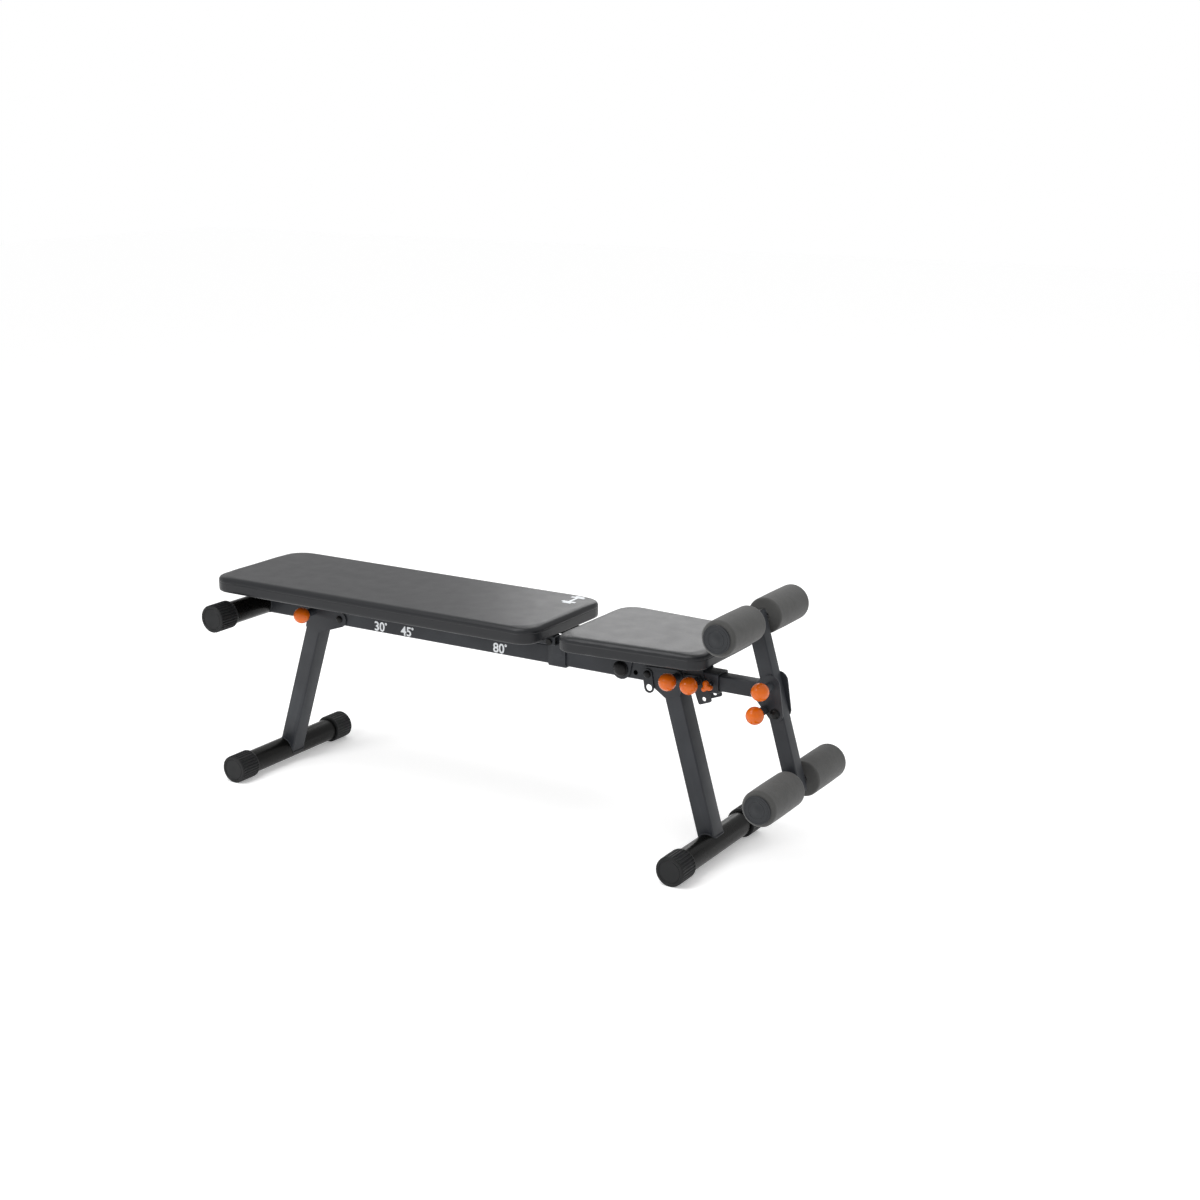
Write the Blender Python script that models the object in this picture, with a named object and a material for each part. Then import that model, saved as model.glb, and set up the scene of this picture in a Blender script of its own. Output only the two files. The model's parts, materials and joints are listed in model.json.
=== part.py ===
"""Adjustable weight bench: folding frame, tilting backrest and seat, sliding leg hold.

Metres, +Z up. The layout is drawn with X measured from the rear foot towards the leg hold, and the
root empty moves it so that the part's origin is on the floor under the middle of the bench.
+Y is the bench's left, -Y its right, the side that the lock pins are pulled from.
"""

import math

import bmesh
import bpy
from mathutils import Matrix, Vector

# ---- driving dimensions -------------------------------------------------------------------------

GAP = 0.0003                # clearance between two neighbouring pieces

RAIL_W = 0.040              # square rail, outside
RAIL_WALL = 0.002
RAIL_Z = 0.367              # height of the rail's axis
RAIL_JOINT_X = 0.7435       # where the rear rail meets the front beam, inside the collar
BEAM_END_X = 1.111
RAIL_SIDE = RAIL_W / 2
RAIL_TOP = RAIL_Z + RAIL_SIDE

PLATE = 0.003               # thickness of ears, lugs and cheeks
WELD = 0.001                # how far one welded piece runs into the other
LAP = 0.0004                # how far a welded plate stands proud of its neighbour's face
EAR_IN = RAIL_SIDE + GAP    # inner face of a plate that lies on the rail's side
EAR_OUT = EAR_IN + PLATE

FOOT_R = 0.025              # round cross tubes
FOOT_WALL = 0.002
CAP_R = 0.0306              # plastic caps on them
CAP_LENGTH = 0.052
CAP_END = 0.005             # thickness of a cap's end wall
FOOT_AXIS_Z = 0.030         # a little under CAP_R: each cap has a flat sole at floor level

REAR_FOOT_HALF = 0.1863
FRONT_FOOT_X = 1.0934
FRONT_FOOT_HALF = 0.1725
HEAD_TUBE_X = -0.041
HEAD_TUBE_HALF = 0.185

REAR_PIVOT = (0.180, 0.361)         # (X, Z) of the rear leg's hinge
REAR_LOCK = (0.106, 0.368)
REAR_LEG_LOW = (0.0063, 0.030)      # ends of the leg's centre line
REAR_LEG_TOP = (0.1026, 0.3320)
FRONT_PIVOT = (0.957, 0.364)
FRONT_LOCK = (1.022, 0.368)
FRONT_LEG_LOW = (1.0945, 0.030)
FRONT_LEG_TOP = (1.0098, 0.3320)
LEG_W = 0.038               # leg tube along X; across Y it is as wide as the rail

BACK_HINGE = (0.7435, 0.4035)
BACK_FRONT_X = 0.759
BACK_HEAD_X = -0.0786
BACK_HALF = 0.143
PAD_TOP = 0.450
PAD_SPLIT = 0.4255          # underside of the cushion, top of the board
BOARD_BOTTOM = 0.416
BOARD_INSET = 0.002
SIDE_BAR = 0.0195           # bars under the backrest board
SIDE_BAR_Y = 0.040
SIDE_BAR_ENDS = (-0.030, 0.7565)
SIDE_BAR_TIES = (0.040, 0.655)          # flat ties that join the two bars
BACK_CORNER = 0.040         # corner radius of the backrest pad
SEAT_CORNER = 0.035

PROP_RADIUS = 0.2553        # backrest hinge to prop pivot
PROP_PIVOT_Z = 0.4010
PROP_LENGTH = 0.2698
PROP_DROP = 0.772           # degrees that the resting prop points below level
PROP_ROD_R = 0.004
RACK_STOPS = (0.288, 0.360, 0.599)      # foot of the prop at 30, 45 and 80 degrees
RACK_ENDS = (0.205, 0.625)
RACK_HALF = 0.009

COLLAR_X = (0.723, 0.764)   # ends of the collar round the rail joint
STOP_HOLE = (0.927, 0.361)  # spare hole between the seat's pivot and the front leg's
STOP_HOLE_R = 0.005

SEAT_PIVOT = (0.895, 0.365)
SEAT_REAR_X = 0.808
SEAT_FRONT_X = 1.126
SEAT_REAR_HALF = 0.142
SEAT_FRONT_HALF = 0.120
SEAT_TOP = 0.448
SEAT_BOTTOM = 0.4170
POST_PIVOT = (1.056, 0.402)
POST_LOCK = (1.069, 0.368)
POST_W = 0.030
POST_HOLES = (0.0364, 0.0738)           # distance of the lock holes from the post's pivot
POST_END = 0.0825

TUBE_W = 0.031              # extension tube and leg-hold arm
EXTENSION_REAR_X = 1.005
EXTENSION_END_X = 1.197
SLEEVE_REAR_X = 1.070       # plastic sleeve between the beam and the tube that slides in it
WING_AXIS = (1.096, 0.365)
WING_R = 0.0095             # mean radius of the clamp knob, and how far its three lobes rise and fall
WING_LOBE = 0.0030
HOLD_PIVOT = (1.233, 0.328)
HOLD_UP = (1.181, 0.502)    # roller axes at rest
HOLD_DOWN = (1.271, 0.189)
UPPER_LOCK = (1.2215, 0.381)
LOWER_LOCK = (1.2115, 0.333)

ROLLER_R = 0.0355
ROLLER_IN = 0.030
ROLLER_OUT = 0.160
ROLLER_BAR_R = 0.008
END_CAP_R = 0.028

PIN_R = 0.004
PIN_HOLE_R = 0.0043
KNOB_R = 0.0175
KNOB_Y = -0.061
BARREL_R = 0.0085
BARREL_BORE = 0.0065
BARREL_END_Y = -0.0440
EYE_PLATE = 0.0026
EYE_CENTRE = (0.961, 0.337)
EYE_R = 0.011
EYE_HOLE_R = 0.0068
BOLT_R = 0.005
BOLT_HOLE_R = 0.0053
SMALL_BOLT_R = 0.004
SMALL_HOLE_R = 0.0043

CROSS_SIDES = 24            # sides of the cross tubes, their caps and the rollers
ROUND = 20                  # sides of a round piece

ORIGIN_X = (BACK_HEAD_X + HOLD_DOWN[0] + ROLLER_R) / 2      # layout X of the part's origin


# ---- materials ----------------------------------------------------------------------------------

def principled(name, colour, roughness, metallic=0.0):
    material = bpy.data.materials.new(name)
    material.use_nodes = True
    shader = material.node_tree.nodes["Principled BSDF"]
    shader.inputs["Base Color"].default_value = (*colour, 1.0)
    shader.inputs["Roughness"].default_value = roughness
    shader.inputs["Metallic"].default_value = metallic
    return material


def make_materials():
    return {
        "frame": principled("frame_paint", (0.055, 0.058, 0.064), 0.42, 0.3),
        "foot": principled("foot_paint", (0.016, 0.016, 0.018), 0.3, 0.2),
        "vinyl": principled("vinyl", (0.032, 0.032, 0.034), 0.45),
        "board": principled("board", (0.10, 0.08, 0.06), 0.7),
        "foam": principled("foam", (0.07, 0.07, 0.07), 0.9),
        "plastic": principled("plastic", (0.02, 0.02, 0.02), 0.5),
        "knob": principled("knob_orange", (0.85, 0.25, 0.03), 0.2),
        "steel": principled("steel", (0.55, 0.55, 0.55), 0.3, 1.0),
        "bolt": principled("bolt_black", (0.02, 0.02, 0.022), 0.35, 0.4),
    }


# ---- outlines: lists of 2-D points, counter-clockwise ----------------------------------------------

def circle(radius, sides=ROUND, centre=(0.0, 0.0)):
    return [(centre[0] + radius * math.cos(2 * math.pi * i / sides),
             centre[1] + radius * math.sin(2 * math.pi * i / sides)) for i in range(sides)]


def rounded(corners, radius, steps=4):
    """Rounds each corner of a convex outline with an arc of the given radius."""
    points = []
    for i, corner in enumerate(corners):
        here = Vector(corner)
        back = (Vector(corners[i - 1]) - here).normalized()
        ahead = (Vector(corners[(i + 1) % len(corners)]) - here).normalized()
        half = back.angle(ahead) / 2
        centre = here + (back + ahead).normalized() * (radius / math.sin(half))
        start = here + back * (radius / math.tan(half)) - centre
        end = here + ahead * (radius / math.tan(half)) - centre
        turn = math.atan2(start.cross(end), start.dot(end))
        for step in range(steps + 1):
            points.append(tuple(centre + Matrix.Rotation(turn * step / steps, 2) @ start))
    return points


def rectangle(width, height, centre=(0.0, 0.0)):
    x, y = centre
    return [(x - width / 2, y - height / 2), (x + width / 2, y - height / 2),
            (x + width / 2, y + height / 2), (x - width / 2, y + height / 2)]


def hull(circles, sides=16):
    """Outline of a belt around several (x, z, radius) circles."""
    points = sorted({p for x, z, r in circles for p in circle(r, sides, (x, z))})

    def chain(ordered):
        kept = []
        for p in ordered:
            while len(kept) > 1:
                (ax, az), (bx, bz) = kept[-2:]
                if (bx - ax) * (p[1] - az) - (bz - az) * (p[0] - ax) > 1e-12:
                    break
                kept.pop()
            kept.append(p)
        return kept[:-1]

    return chain(points) + chain(points[::-1])


# ---- solids -------------------------------------------------------------------------------------

def mesh_from(bm, name):
    bmesh.ops.recalc_face_normals(bm, faces=bm.faces)
    mesh = bpy.data.meshes.new(name)
    bm.to_mesh(mesh)
    bm.free()
    return mesh


def prism(outline, low, high, frame):
    """A solid between two parallel copies of an outline. frame maps (u, v, depth) to (x, y, z)."""
    bm = bmesh.new()
    rings = [[bm.verts.new(frame(u, v, depth)) for u, v in outline] for depth in (low, high)]
    bm.faces.new(rings[0][::-1])
    bm.faces.new(rings[1])
    for i in range(len(outline)):
        j = (i + 1) % len(outline)
        bm.faces.new((rings[0][i], rings[0][j], rings[1][j], rings[1][i]))
    return mesh_from(bm, "prism")


def pipe(outer, inner, low, high, frame):
    """A tube with the given outer and inner outlines, which have the same number of points."""
    bm = bmesh.new()
    rings = [[bm.verts.new(frame(u, v, depth)) for u, v in outline]
             for outline in (outer, inner) for depth in (low, high)]
    outer_low, outer_high, inner_low, inner_high = rings
    for i in range(len(outer)):
        j = (i + 1) % len(outer)
        bm.faces.new((outer_low[i], outer_low[j], outer_high[j], outer_high[i]))
        bm.faces.new((inner_low[j], inner_low[i], inner_high[i], inner_high[j]))
        bm.faces.new((outer_low[j], outer_low[i], inner_low[i], inner_low[j]))
        bm.faces.new((outer_high[i], outer_high[j], inner_high[j], inner_high[i]))
    return mesh_from(bm, "pipe")


def turned(profile, x, z, sides=ROUND):
    """Revolves a closed loop of (radius, y) points about the line along Y through (x, z). A side of
    the loop that lies on the axis itself makes no face."""
    bm = bmesh.new()
    columns = []
    for radius, y in profile:
        if radius < 1e-9:
            columns.append([bm.verts.new((x, y, z))] * sides)
        else:
            columns.append([bm.verts.new((x + u, y, z + v)) for u, v in circle(radius, sides)])
    for k, a in enumerate(columns):
        b = columns[(k + 1) % len(columns)]
        if a[0] is a[1] and b[0] is b[1]:
            continue
        for i in range(sides):
            j = (i + 1) % sides
            corners = list(dict.fromkeys((a[i], a[j], b[j], b[i])))
            bm.faces.new(corners)
    return mesh_from(bm, "turned")


def along_y(u, v, depth):
    return u, depth, v


def along_z(u, v, depth):
    return u, v, depth


def leaning(low, top):
    """Frame of a tube that leans in the XZ plane: depth runs along its centre line from low."""
    direction = Vector((top[0] - low[0], 0.0, top[1] - low[1])).normalized()
    side = Vector((direction.z, 0.0, -direction.x))

    def place(u, v, depth):
        return Vector((low[0], 0.0, low[1])) + direction * depth + side * u + Vector((0.0, v, 0.0))

    return place


def distance(a, b):
    return math.hypot(b[0] - a[0], b[1] - a[1])


def mirrored(mesh):
    """The same solid on the other side of the bench."""
    other = mesh.copy()
    other.transform(Matrix.Scale(-1.0, 4, (0.0, 1.0, 0.0)))
    other.flip_normals()
    return other


def square_tube(width, depth, wall, low, high, frame, corner=0.0025):
    outer = rounded(rectangle(width, depth), corner, 1)
    inner = rounded(rectangle(width - 2 * wall, depth - 2 * wall), corner * 0.5, 1)
    return pipe(outer, inner, low, high, frame)


# ---- placing ------------------------------------------------------------------------------------

class Bench:
    """Holds the root empty, the materials and the joint empties while the pieces are added."""

    def __init__(self):
        self.materials = make_materials()
        self.root = bpy.data.objects.new("bench", None)
        bpy.context.scene.collection.objects.link(self.root)
        self.root.location = (-ORIGIN_X, 0.0, 0.0)
        self.places = {}

    def joint(self, name, x, z, y=0.0):
        """An empty on a joint's axis, at a layout position."""
        empty = bpy.data.objects.new(name, None)
        bpy.context.scene.collection.objects.link(empty)
        empty.parent = self.root
        empty.location = (x, y, z)
        self.places[empty] = Vector((x, y, z))
        return empty

    def add(self, name, mesh, material, parent=None, smooth=True):
        """A node: its mesh is given in layout coordinates and hangs from its joint's empty."""
        piece = bpy.data.objects.new(name, mesh)
        bpy.context.scene.collection.objects.link(piece)
        piece.parent = parent or self.root
        mesh.transform(Matrix.Translation(-self.places.get(parent, Vector())))
        mesh.name = name
        mesh.materials.clear()
        mesh.materials.append(self.materials[material])
        if smooth:
            mesh.shade_smooth()
            mesh.set_sharp_from_angle(angle=math.radians(32))
        return piece

    def tool(self, piece, mesh, operation):
        """A hidden solid that a Boolean modifier cuts from, or joins to, a piece."""
        cutter = bpy.data.objects.new(piece.name + "_tool", mesh)
        bpy.context.scene.collection.objects.link(cutter)
        cutter.parent = piece.parent
        mesh.transform(Matrix.Translation(-self.places.get(piece.parent, Vector())))
        cutter.hide_render = True
        cutter.display_type = "WIRE"
        boolean = piece.modifiers.new(operation.lower(), "BOOLEAN")
        boolean.operation = operation
        boolean.solver = "EXACT"
        boolean.object = cutter
        return piece

    def cut(self, piece, *meshes):
        for mesh in meshes:
            self.tool(piece, mesh, "DIFFERENCE")
        return piece

    def union(self, piece, *meshes):
        for mesh in meshes:
            self.tool(piece, mesh, "UNION")
        return piece


def drill(point, radius, low=-0.3, high=0.3, sides=10):
    """A cutter along Y through (x, z), whose flats are at the given radius."""
    return prism(circle(radius / math.cos(math.pi / sides), sides, point), low, high, along_y)


def bolt(bench, name, point, radius, half, head_r, head_t, parent=None):
    """A bolt with its nut on one axis along Y: half is where each hexagon starts."""
    x, z = point
    shank = turned([(0, -half), (radius, -half), (radius, half), (0, half)], x, z, 12)
    head = prism(circle(head_r, 6, point), -half - head_t, -half + 0.0001, along_y)
    return bench.union(bench.add(name, shank, "bolt", parent), head, mirrored(head))


# ---- repeated parts ------------------------------------------------------------------------------

def cross_tube(bench, name, x, z, half, parent):
    """A round tube across the bench, with a plastic cap on each end."""
    end = half - CAP_END - GAP
    tube = pipe(circle(FOOT_R, CROSS_SIDES, (x, z)), circle(FOOT_R - FOOT_WALL, CROSS_SIDES, (x, z)),
                -end, end, along_y)
    bench.add(name + "_tube", tube, "foot", parent)
    chamfer = 0.003
    inner = half - CAP_LENGTH
    cup = [(0, -half), (CAP_R - chamfer, -half), (CAP_R, -half + chamfer), (CAP_R, -inner - chamfer),
           (CAP_R - 0.0015, -inner), (FOOT_R + GAP, -inner), (FOOT_R + GAP, -half + CAP_END),
           (0, -half + CAP_END)]
    right = turned(cup, x, z, CROSS_SIDES)
    return [bench.add(name + "_cap_left", mirrored(right), "plastic", parent),
            bench.add(name + "_cap_right", right, "plastic", parent)]


def leg(bench, name, pivot, pivot_r, lock, low, top, foot_x, foot_half, parent):
    """A folding leg: its foot, and its tube with the ears that straddle the rail welded on."""
    for cap in cross_tube(bench, name + "_foot", foot_x, FOOT_AXIS_Z, foot_half, parent):
        bench.cut(cap, prism(rectangle(0.1, 0.1, (foot_x, -0.05)), -0.3, 0.3, along_y))

    frame = leaning(low, top)
    length = distance(low, top)
    tube = square_tube(LEG_W, 2 * EAR_IN + WELD, RAIL_WALL, 0.0, length, frame)
    whole = bench.add(name + "_leg", tube, "frame", parent)

    grips = [frame(side * (LEG_W / 2 - 0.004), 0.0, length - 0.004) for side in (-1, 1)]
    outline = hull([(*pivot, pivot_r), (*lock, 0.0135)] + [(grip.x, grip.z, 0.003) for grip in grips])
    right = prism(outline, -EAR_OUT, -EAR_IN, along_y)
    bench.union(whole, right, mirrored(right))
    bench.cut(whole, drill((foot_x, FOOT_AXIS_Z), FOOT_R + GAP, sides=CROSS_SIDES), drill(pivot, BOLT_HOLE_R))
    add_barrel(bench, whole, lock, -EAR_OUT)


def add_barrel(bench, piece, point, face_y):
    """Welds a lock pin's guide on a plate: a short barrel with a bore that houses the spring."""
    outside = prism(circle(BARREL_R, 16, point), BARREL_END_Y, face_y + WELD, along_y)
    bench.union(piece, outside)
    bore = prism(circle(BARREL_BORE, 10, point), BARREL_END_Y + 0.003, face_y - 0.002, along_y)
    bench.cut(piece, drill(point, PIN_HOLE_R), bore)


def pull_pin(bench, name, point, tip_y):
    """A sliding lock pin with its ball knob, on the bench's right side."""
    x, z = point
    parent = bench.joint(name + "_slide", x, z, KNOB_Y)
    tail = KNOB_Y - 0.006
    shaft = [(0, tail), (PIN_R, tail), (PIN_R, tip_y - 0.001), (PIN_R - 0.001, tip_y), (0, tip_y)]
    bench.add(name, turned(shaft, x, z, 12), "steel", parent)
    bore = PIN_R + GAP
    mouth = math.asin((bore + 0.0035) / KNOB_R)
    rings = 7
    ball = [(KNOB_R * math.sin(t), KNOB_Y - KNOB_R * math.cos(t))
            for t in [(math.pi - mouth) * k / rings for k in range(rings + 1)]]
    inside = [(bore, ball[-1][1]), (bore, tail - GAP), (0, tail - GAP)]
    bench.add(name + "_knob", turned(ball + inside, x, z, 16), "knob", parent)


# ---- frame --------------------------------------------------------------------------------------

def add_frame(bench):
    rail = square_tube(RAIL_W, RAIL_W, RAIL_WALL, -0.034, RAIL_JOINT_X - GAP / 2, at_rail_height)
    rear_rail = bench.add("rear_rail", rail, "frame")
    bench.cut(rear_rail, drill((HEAD_TUBE_X, RAIL_Z), FOOT_R + GAP, sides=CROSS_SIDES),
              drill(REAR_PIVOT, BOLT_HOLE_R), drill(REAR_LOCK, PIN_HOLE_R))

    beam = square_tube(RAIL_W, RAIL_W, RAIL_WALL, RAIL_JOINT_X + GAP / 2, BEAM_END_X, at_rail_height)
    front_beam = bench.add("front_beam", beam, "frame")
    bench.cut(front_beam, drill(SEAT_PIVOT, BOLT_HOLE_R), drill(STOP_HOLE, STOP_HOLE_R),
              drill(FRONT_PIVOT, BOLT_HOLE_R), drill(FRONT_LOCK, PIN_HOLE_R), drill(POST_LOCK, PIN_HOLE_R),
              drill(WING_AXIS, PIN_HOLE_R, low=-0.3, high=0.0))

    collar = square_tube(RAIL_W + 2 * (GAP + PLATE), RAIL_W + 2 * (GAP + PLATE), PLATE,
                         *COLLAR_X, at_rail_height, 0.003)
    ear = hull([(*BACK_HINGE, 0.011), (COLLAR_X[0] + 0.008, 0.372, 0.002),
                (COLLAR_X[1] - 0.008, 0.372, 0.002)])
    rail_collar = bench.add("rail_collar", collar, "frame")
    right_ear = prism(ear, -EAR_OUT - LAP, -EAR_IN - LAP, along_y)
    bench.union(rail_collar, right_ear, mirrored(right_ear))
    bench.cut(rail_collar, drill(BACK_HINGE, SMALL_HOLE_R))

    cross_tube(bench, "head", HEAD_TUBE_X, RAIL_Z, HEAD_TUBE_HALF, None)
    add_rack(bench)

    bolt(bench, "rear_pivot_bolt", REAR_PIVOT, BOLT_R, EAR_OUT + GAP, 0.009, 0.005)
    bolt(bench, "front_pivot_bolt", FRONT_PIVOT, BOLT_R, EAR_OUT + EYE_PLATE + 2 * GAP, 0.009, 0.005)
    bolt(bench, "backrest_hinge_bolt", BACK_HINGE, SMALL_BOLT_R, SIDE_BAR_Y + SIDE_BAR / 2 + GAP,
         0.007, 0.004)
    add_seat_pivot_bolt(bench)

    sleeve_in = TUBE_W + 2 * GAP
    sleeve_out = RAIL_W - 2 * RAIL_WALL - 2 * GAP
    sleeve = pipe(rounded(rectangle(sleeve_out, sleeve_out), 0.0020, 2),
                  rounded(rectangle(sleeve_in, sleeve_in), 0.0012, 2),
                  SLEEVE_REAR_X, BEAM_END_X, at_rail_height)
    beam_sleeve = bench.add("beam_sleeve", sleeve, "plastic", smooth=False)
    bench.cut(beam_sleeve, drill(WING_AXIS, PIN_HOLE_R, low=-0.3, high=0.0))

    eye = hull([(*FRONT_PIVOT, EYE_R), (*EYE_CENTRE, EYE_R)])
    plate = prism(eye, -EAR_OUT - GAP - EYE_PLATE, -EAR_OUT - GAP, along_y)
    tether_eye = bench.add("tether_eye", plate, "frame")
    bench.cut(tether_eye, drill(FRONT_PIVOT, BOLT_HOLE_R), drill(EYE_CENTRE, EYE_HOLE_R, sides=ROUND))

    add_post_keeper(bench)


def add_seat_pivot_bolt(bench):
    """The seat's pivot, with a domed black cover moulded on each end."""
    face = EAR_OUT + GAP
    dome = [(0, -face), (0.0160, -face), (0.0160, -face - 0.0038), (0.0148, -face - 0.0068),
            (0.0110, -face - 0.0093), (0, -face - 0.0103)]
    right = turned(dome, *SEAT_PIVOT)
    shank = prism(circle(BOLT_R, 12, SEAT_PIVOT), -face - WELD, face + WELD, along_y)
    bench.union(bench.add("seat_pivot_bolt", shank, "bolt"), right, mirrored(right))


def at_rail_height(u, v, depth):
    return depth, u, RAIL_Z + v


def add_rack(bench):
    """A toothed strip along the rail's top: one notch for each stop of the prop's foot."""
    base = RAIL_TOP + GAP
    crest = base + 0.0055
    floor = base + 0.0020
    start, end = RACK_ENDS
    outline = [(start, base), (end, base), (end, floor)]
    for stop in reversed(RACK_STOPS):
        outline += [(stop + 0.020, floor), (stop + 0.014, floor), (stop - 0.006, floor),
                    (stop - 0.007, crest if stop < 0.5 else floor + 0.0008),
                    (stop - 0.012, crest if stop < 0.5 else floor + 0.0008), (stop - 0.028, floor)]
    outline.append((start, floor))
    rack = prism(outline, -RACK_HALF, RACK_HALF, along_y)
    bench.add("notch_rack", rack, "frame", smooth=False)


def add_post_keeper(bench):
    """A bracket on the beam's side that holds the seat post's lock pin clear of the post."""
    inner = EAR_OUT + 0.0007
    face = inner + PLATE
    x, z = POST_LOCK
    outline = hull([(x, z, 0.0115), (1.041, z - 0.006, 0.003), (1.041, z + 0.006, 0.003)])
    keeper = prism(outline, -face, -inner, along_y)
    foot = prism(rectangle(0.008, 0.018, (1.042, z)), -face + 0.0005, -RAIL_SIDE - GAP, along_y)
    keeper_object = bench.add("post_keeper", keeper, "frame")
    bench.union(keeper_object, foot)
    add_barrel(bench, keeper_object, POST_LOCK, -face)
    pull_pin(bench, "post_lock_pin", POST_LOCK, -inner - GAP)


# ---- legs ---------------------------------------------------------------------------------------

def add_legs(bench):
    rear = bench.joint("rear_leg_pivot", *REAR_PIVOT)
    leg(bench, "rear", REAR_PIVOT, 0.018, REAR_LOCK, REAR_LEG_LOW, REAR_LEG_TOP, 0.0, REAR_FOOT_HALF, rear)
    front = bench.joint("front_leg_pivot", *FRONT_PIVOT)
    leg(bench, "front", FRONT_PIVOT, 0.015, FRONT_LOCK, FRONT_LEG_LOW, FRONT_LEG_TOP, FRONT_FOOT_X,
        FRONT_FOOT_HALF, front)
    pull_pin(bench, "rear_lock_pin", REAR_LOCK, -EAR_IN - 0.0002)
    pull_pin(bench, "front_lock_pin", FRONT_LOCK, -EAR_IN - 0.0002)


# ---- backrest -----------------------------------------------------------------------------------

def add_backrest(bench):
    back = bench.joint("backrest_hinge", *BACK_HINGE)
    length = BACK_FRONT_X - BACK_HEAD_X
    middle = (BACK_FRONT_X + BACK_HEAD_X) / 2
    outline = rounded(rectangle(length, 2 * BACK_HALF, (middle, 0.0)),
                      BACK_CORNER, 8)
    bench.add("backrest_cushion", prism(outline, PAD_SPLIT + GAP, PAD_TOP, along_z), "vinyl", back)
    board = rounded(rectangle(length - 2 * BOARD_INSET, 2 * (BACK_HALF - BOARD_INSET), (middle, 0.0)),
                    BACK_CORNER - BOARD_INSET, 8)
    bench.add("backrest_board", prism(board, BOARD_BOTTOM, PAD_SPLIT, along_z), "board", back)

    pivot = prop_pivot()
    bar_top = BOARD_BOTTOM - GAP
    bar_z = bar_top - SIDE_BAR / 2
    bars = [square_tube(SIDE_BAR, SIDE_BAR, 0.0015, *SIDE_BAR_ENDS, bar_frame(y, bar_z), 0.002)
            for y in (-SIDE_BAR_Y, SIDE_BAR_Y)]
    tie_top = bar_top - SIDE_BAR + WELD
    half = SIDE_BAR_Y + SIDE_BAR / 2
    ties = [prism(rectangle(0.030, 2 * half - 0.004, (x, 0.0)), tie_top - 0.003, tie_top, along_z)
            for x in SIDE_BAR_TIES]
    frame = bench.add("backrest_frame", bars[0], "frame", back)
    bench.union(frame, ties[0], bars[1], ties[1])
    bench.cut(frame, drill(BACK_HINGE, SMALL_HOLE_R), drill(pivot, SMALL_HOLE_R))
    bolt(bench, "prop_pivot_bolt", pivot, SMALL_BOLT_R, half + GAP, 0.007, 0.004, back)
    add_prop(bench, pivot)


def prop_pivot():
    return BACK_HINGE[0] - PROP_RADIUS, PROP_PIVOT_Z


def bar_frame(y, z):
    def place(u, v, depth):
        return depth, y + u, z + v
    return place


def add_prop(bench, pivot):
    """Two flat arms and the rod across their free ends that stands in the rack."""
    empty = bench.joint("prop_pivot", *pivot)
    drop = math.radians(PROP_DROP)
    foot = (pivot[0] - PROP_LENGTH * math.cos(drop), pivot[1] - PROP_LENGTH * math.sin(drop))
    outer = SIDE_BAR_Y - SIDE_BAR / 2 - 0.0012
    inner = outer - 0.004
    outline = hull([(*pivot, 0.007), (*foot, 0.0065)])
    right = prism(outline, -outer, -inner, along_y)
    prop = bench.add("prop", right, "frame", empty)
    left = mirrored(prism(outline, -outer, -inner, along_y))
    rod = prism(circle(PROP_ROD_R, 16, foot), -inner - 0.001, inner + 0.001, along_y)
    bench.union(prop, rod, left)
    bench.cut(prop, drill(pivot, SMALL_HOLE_R))


# ---- seat ---------------------------------------------------------------------------------------

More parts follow.
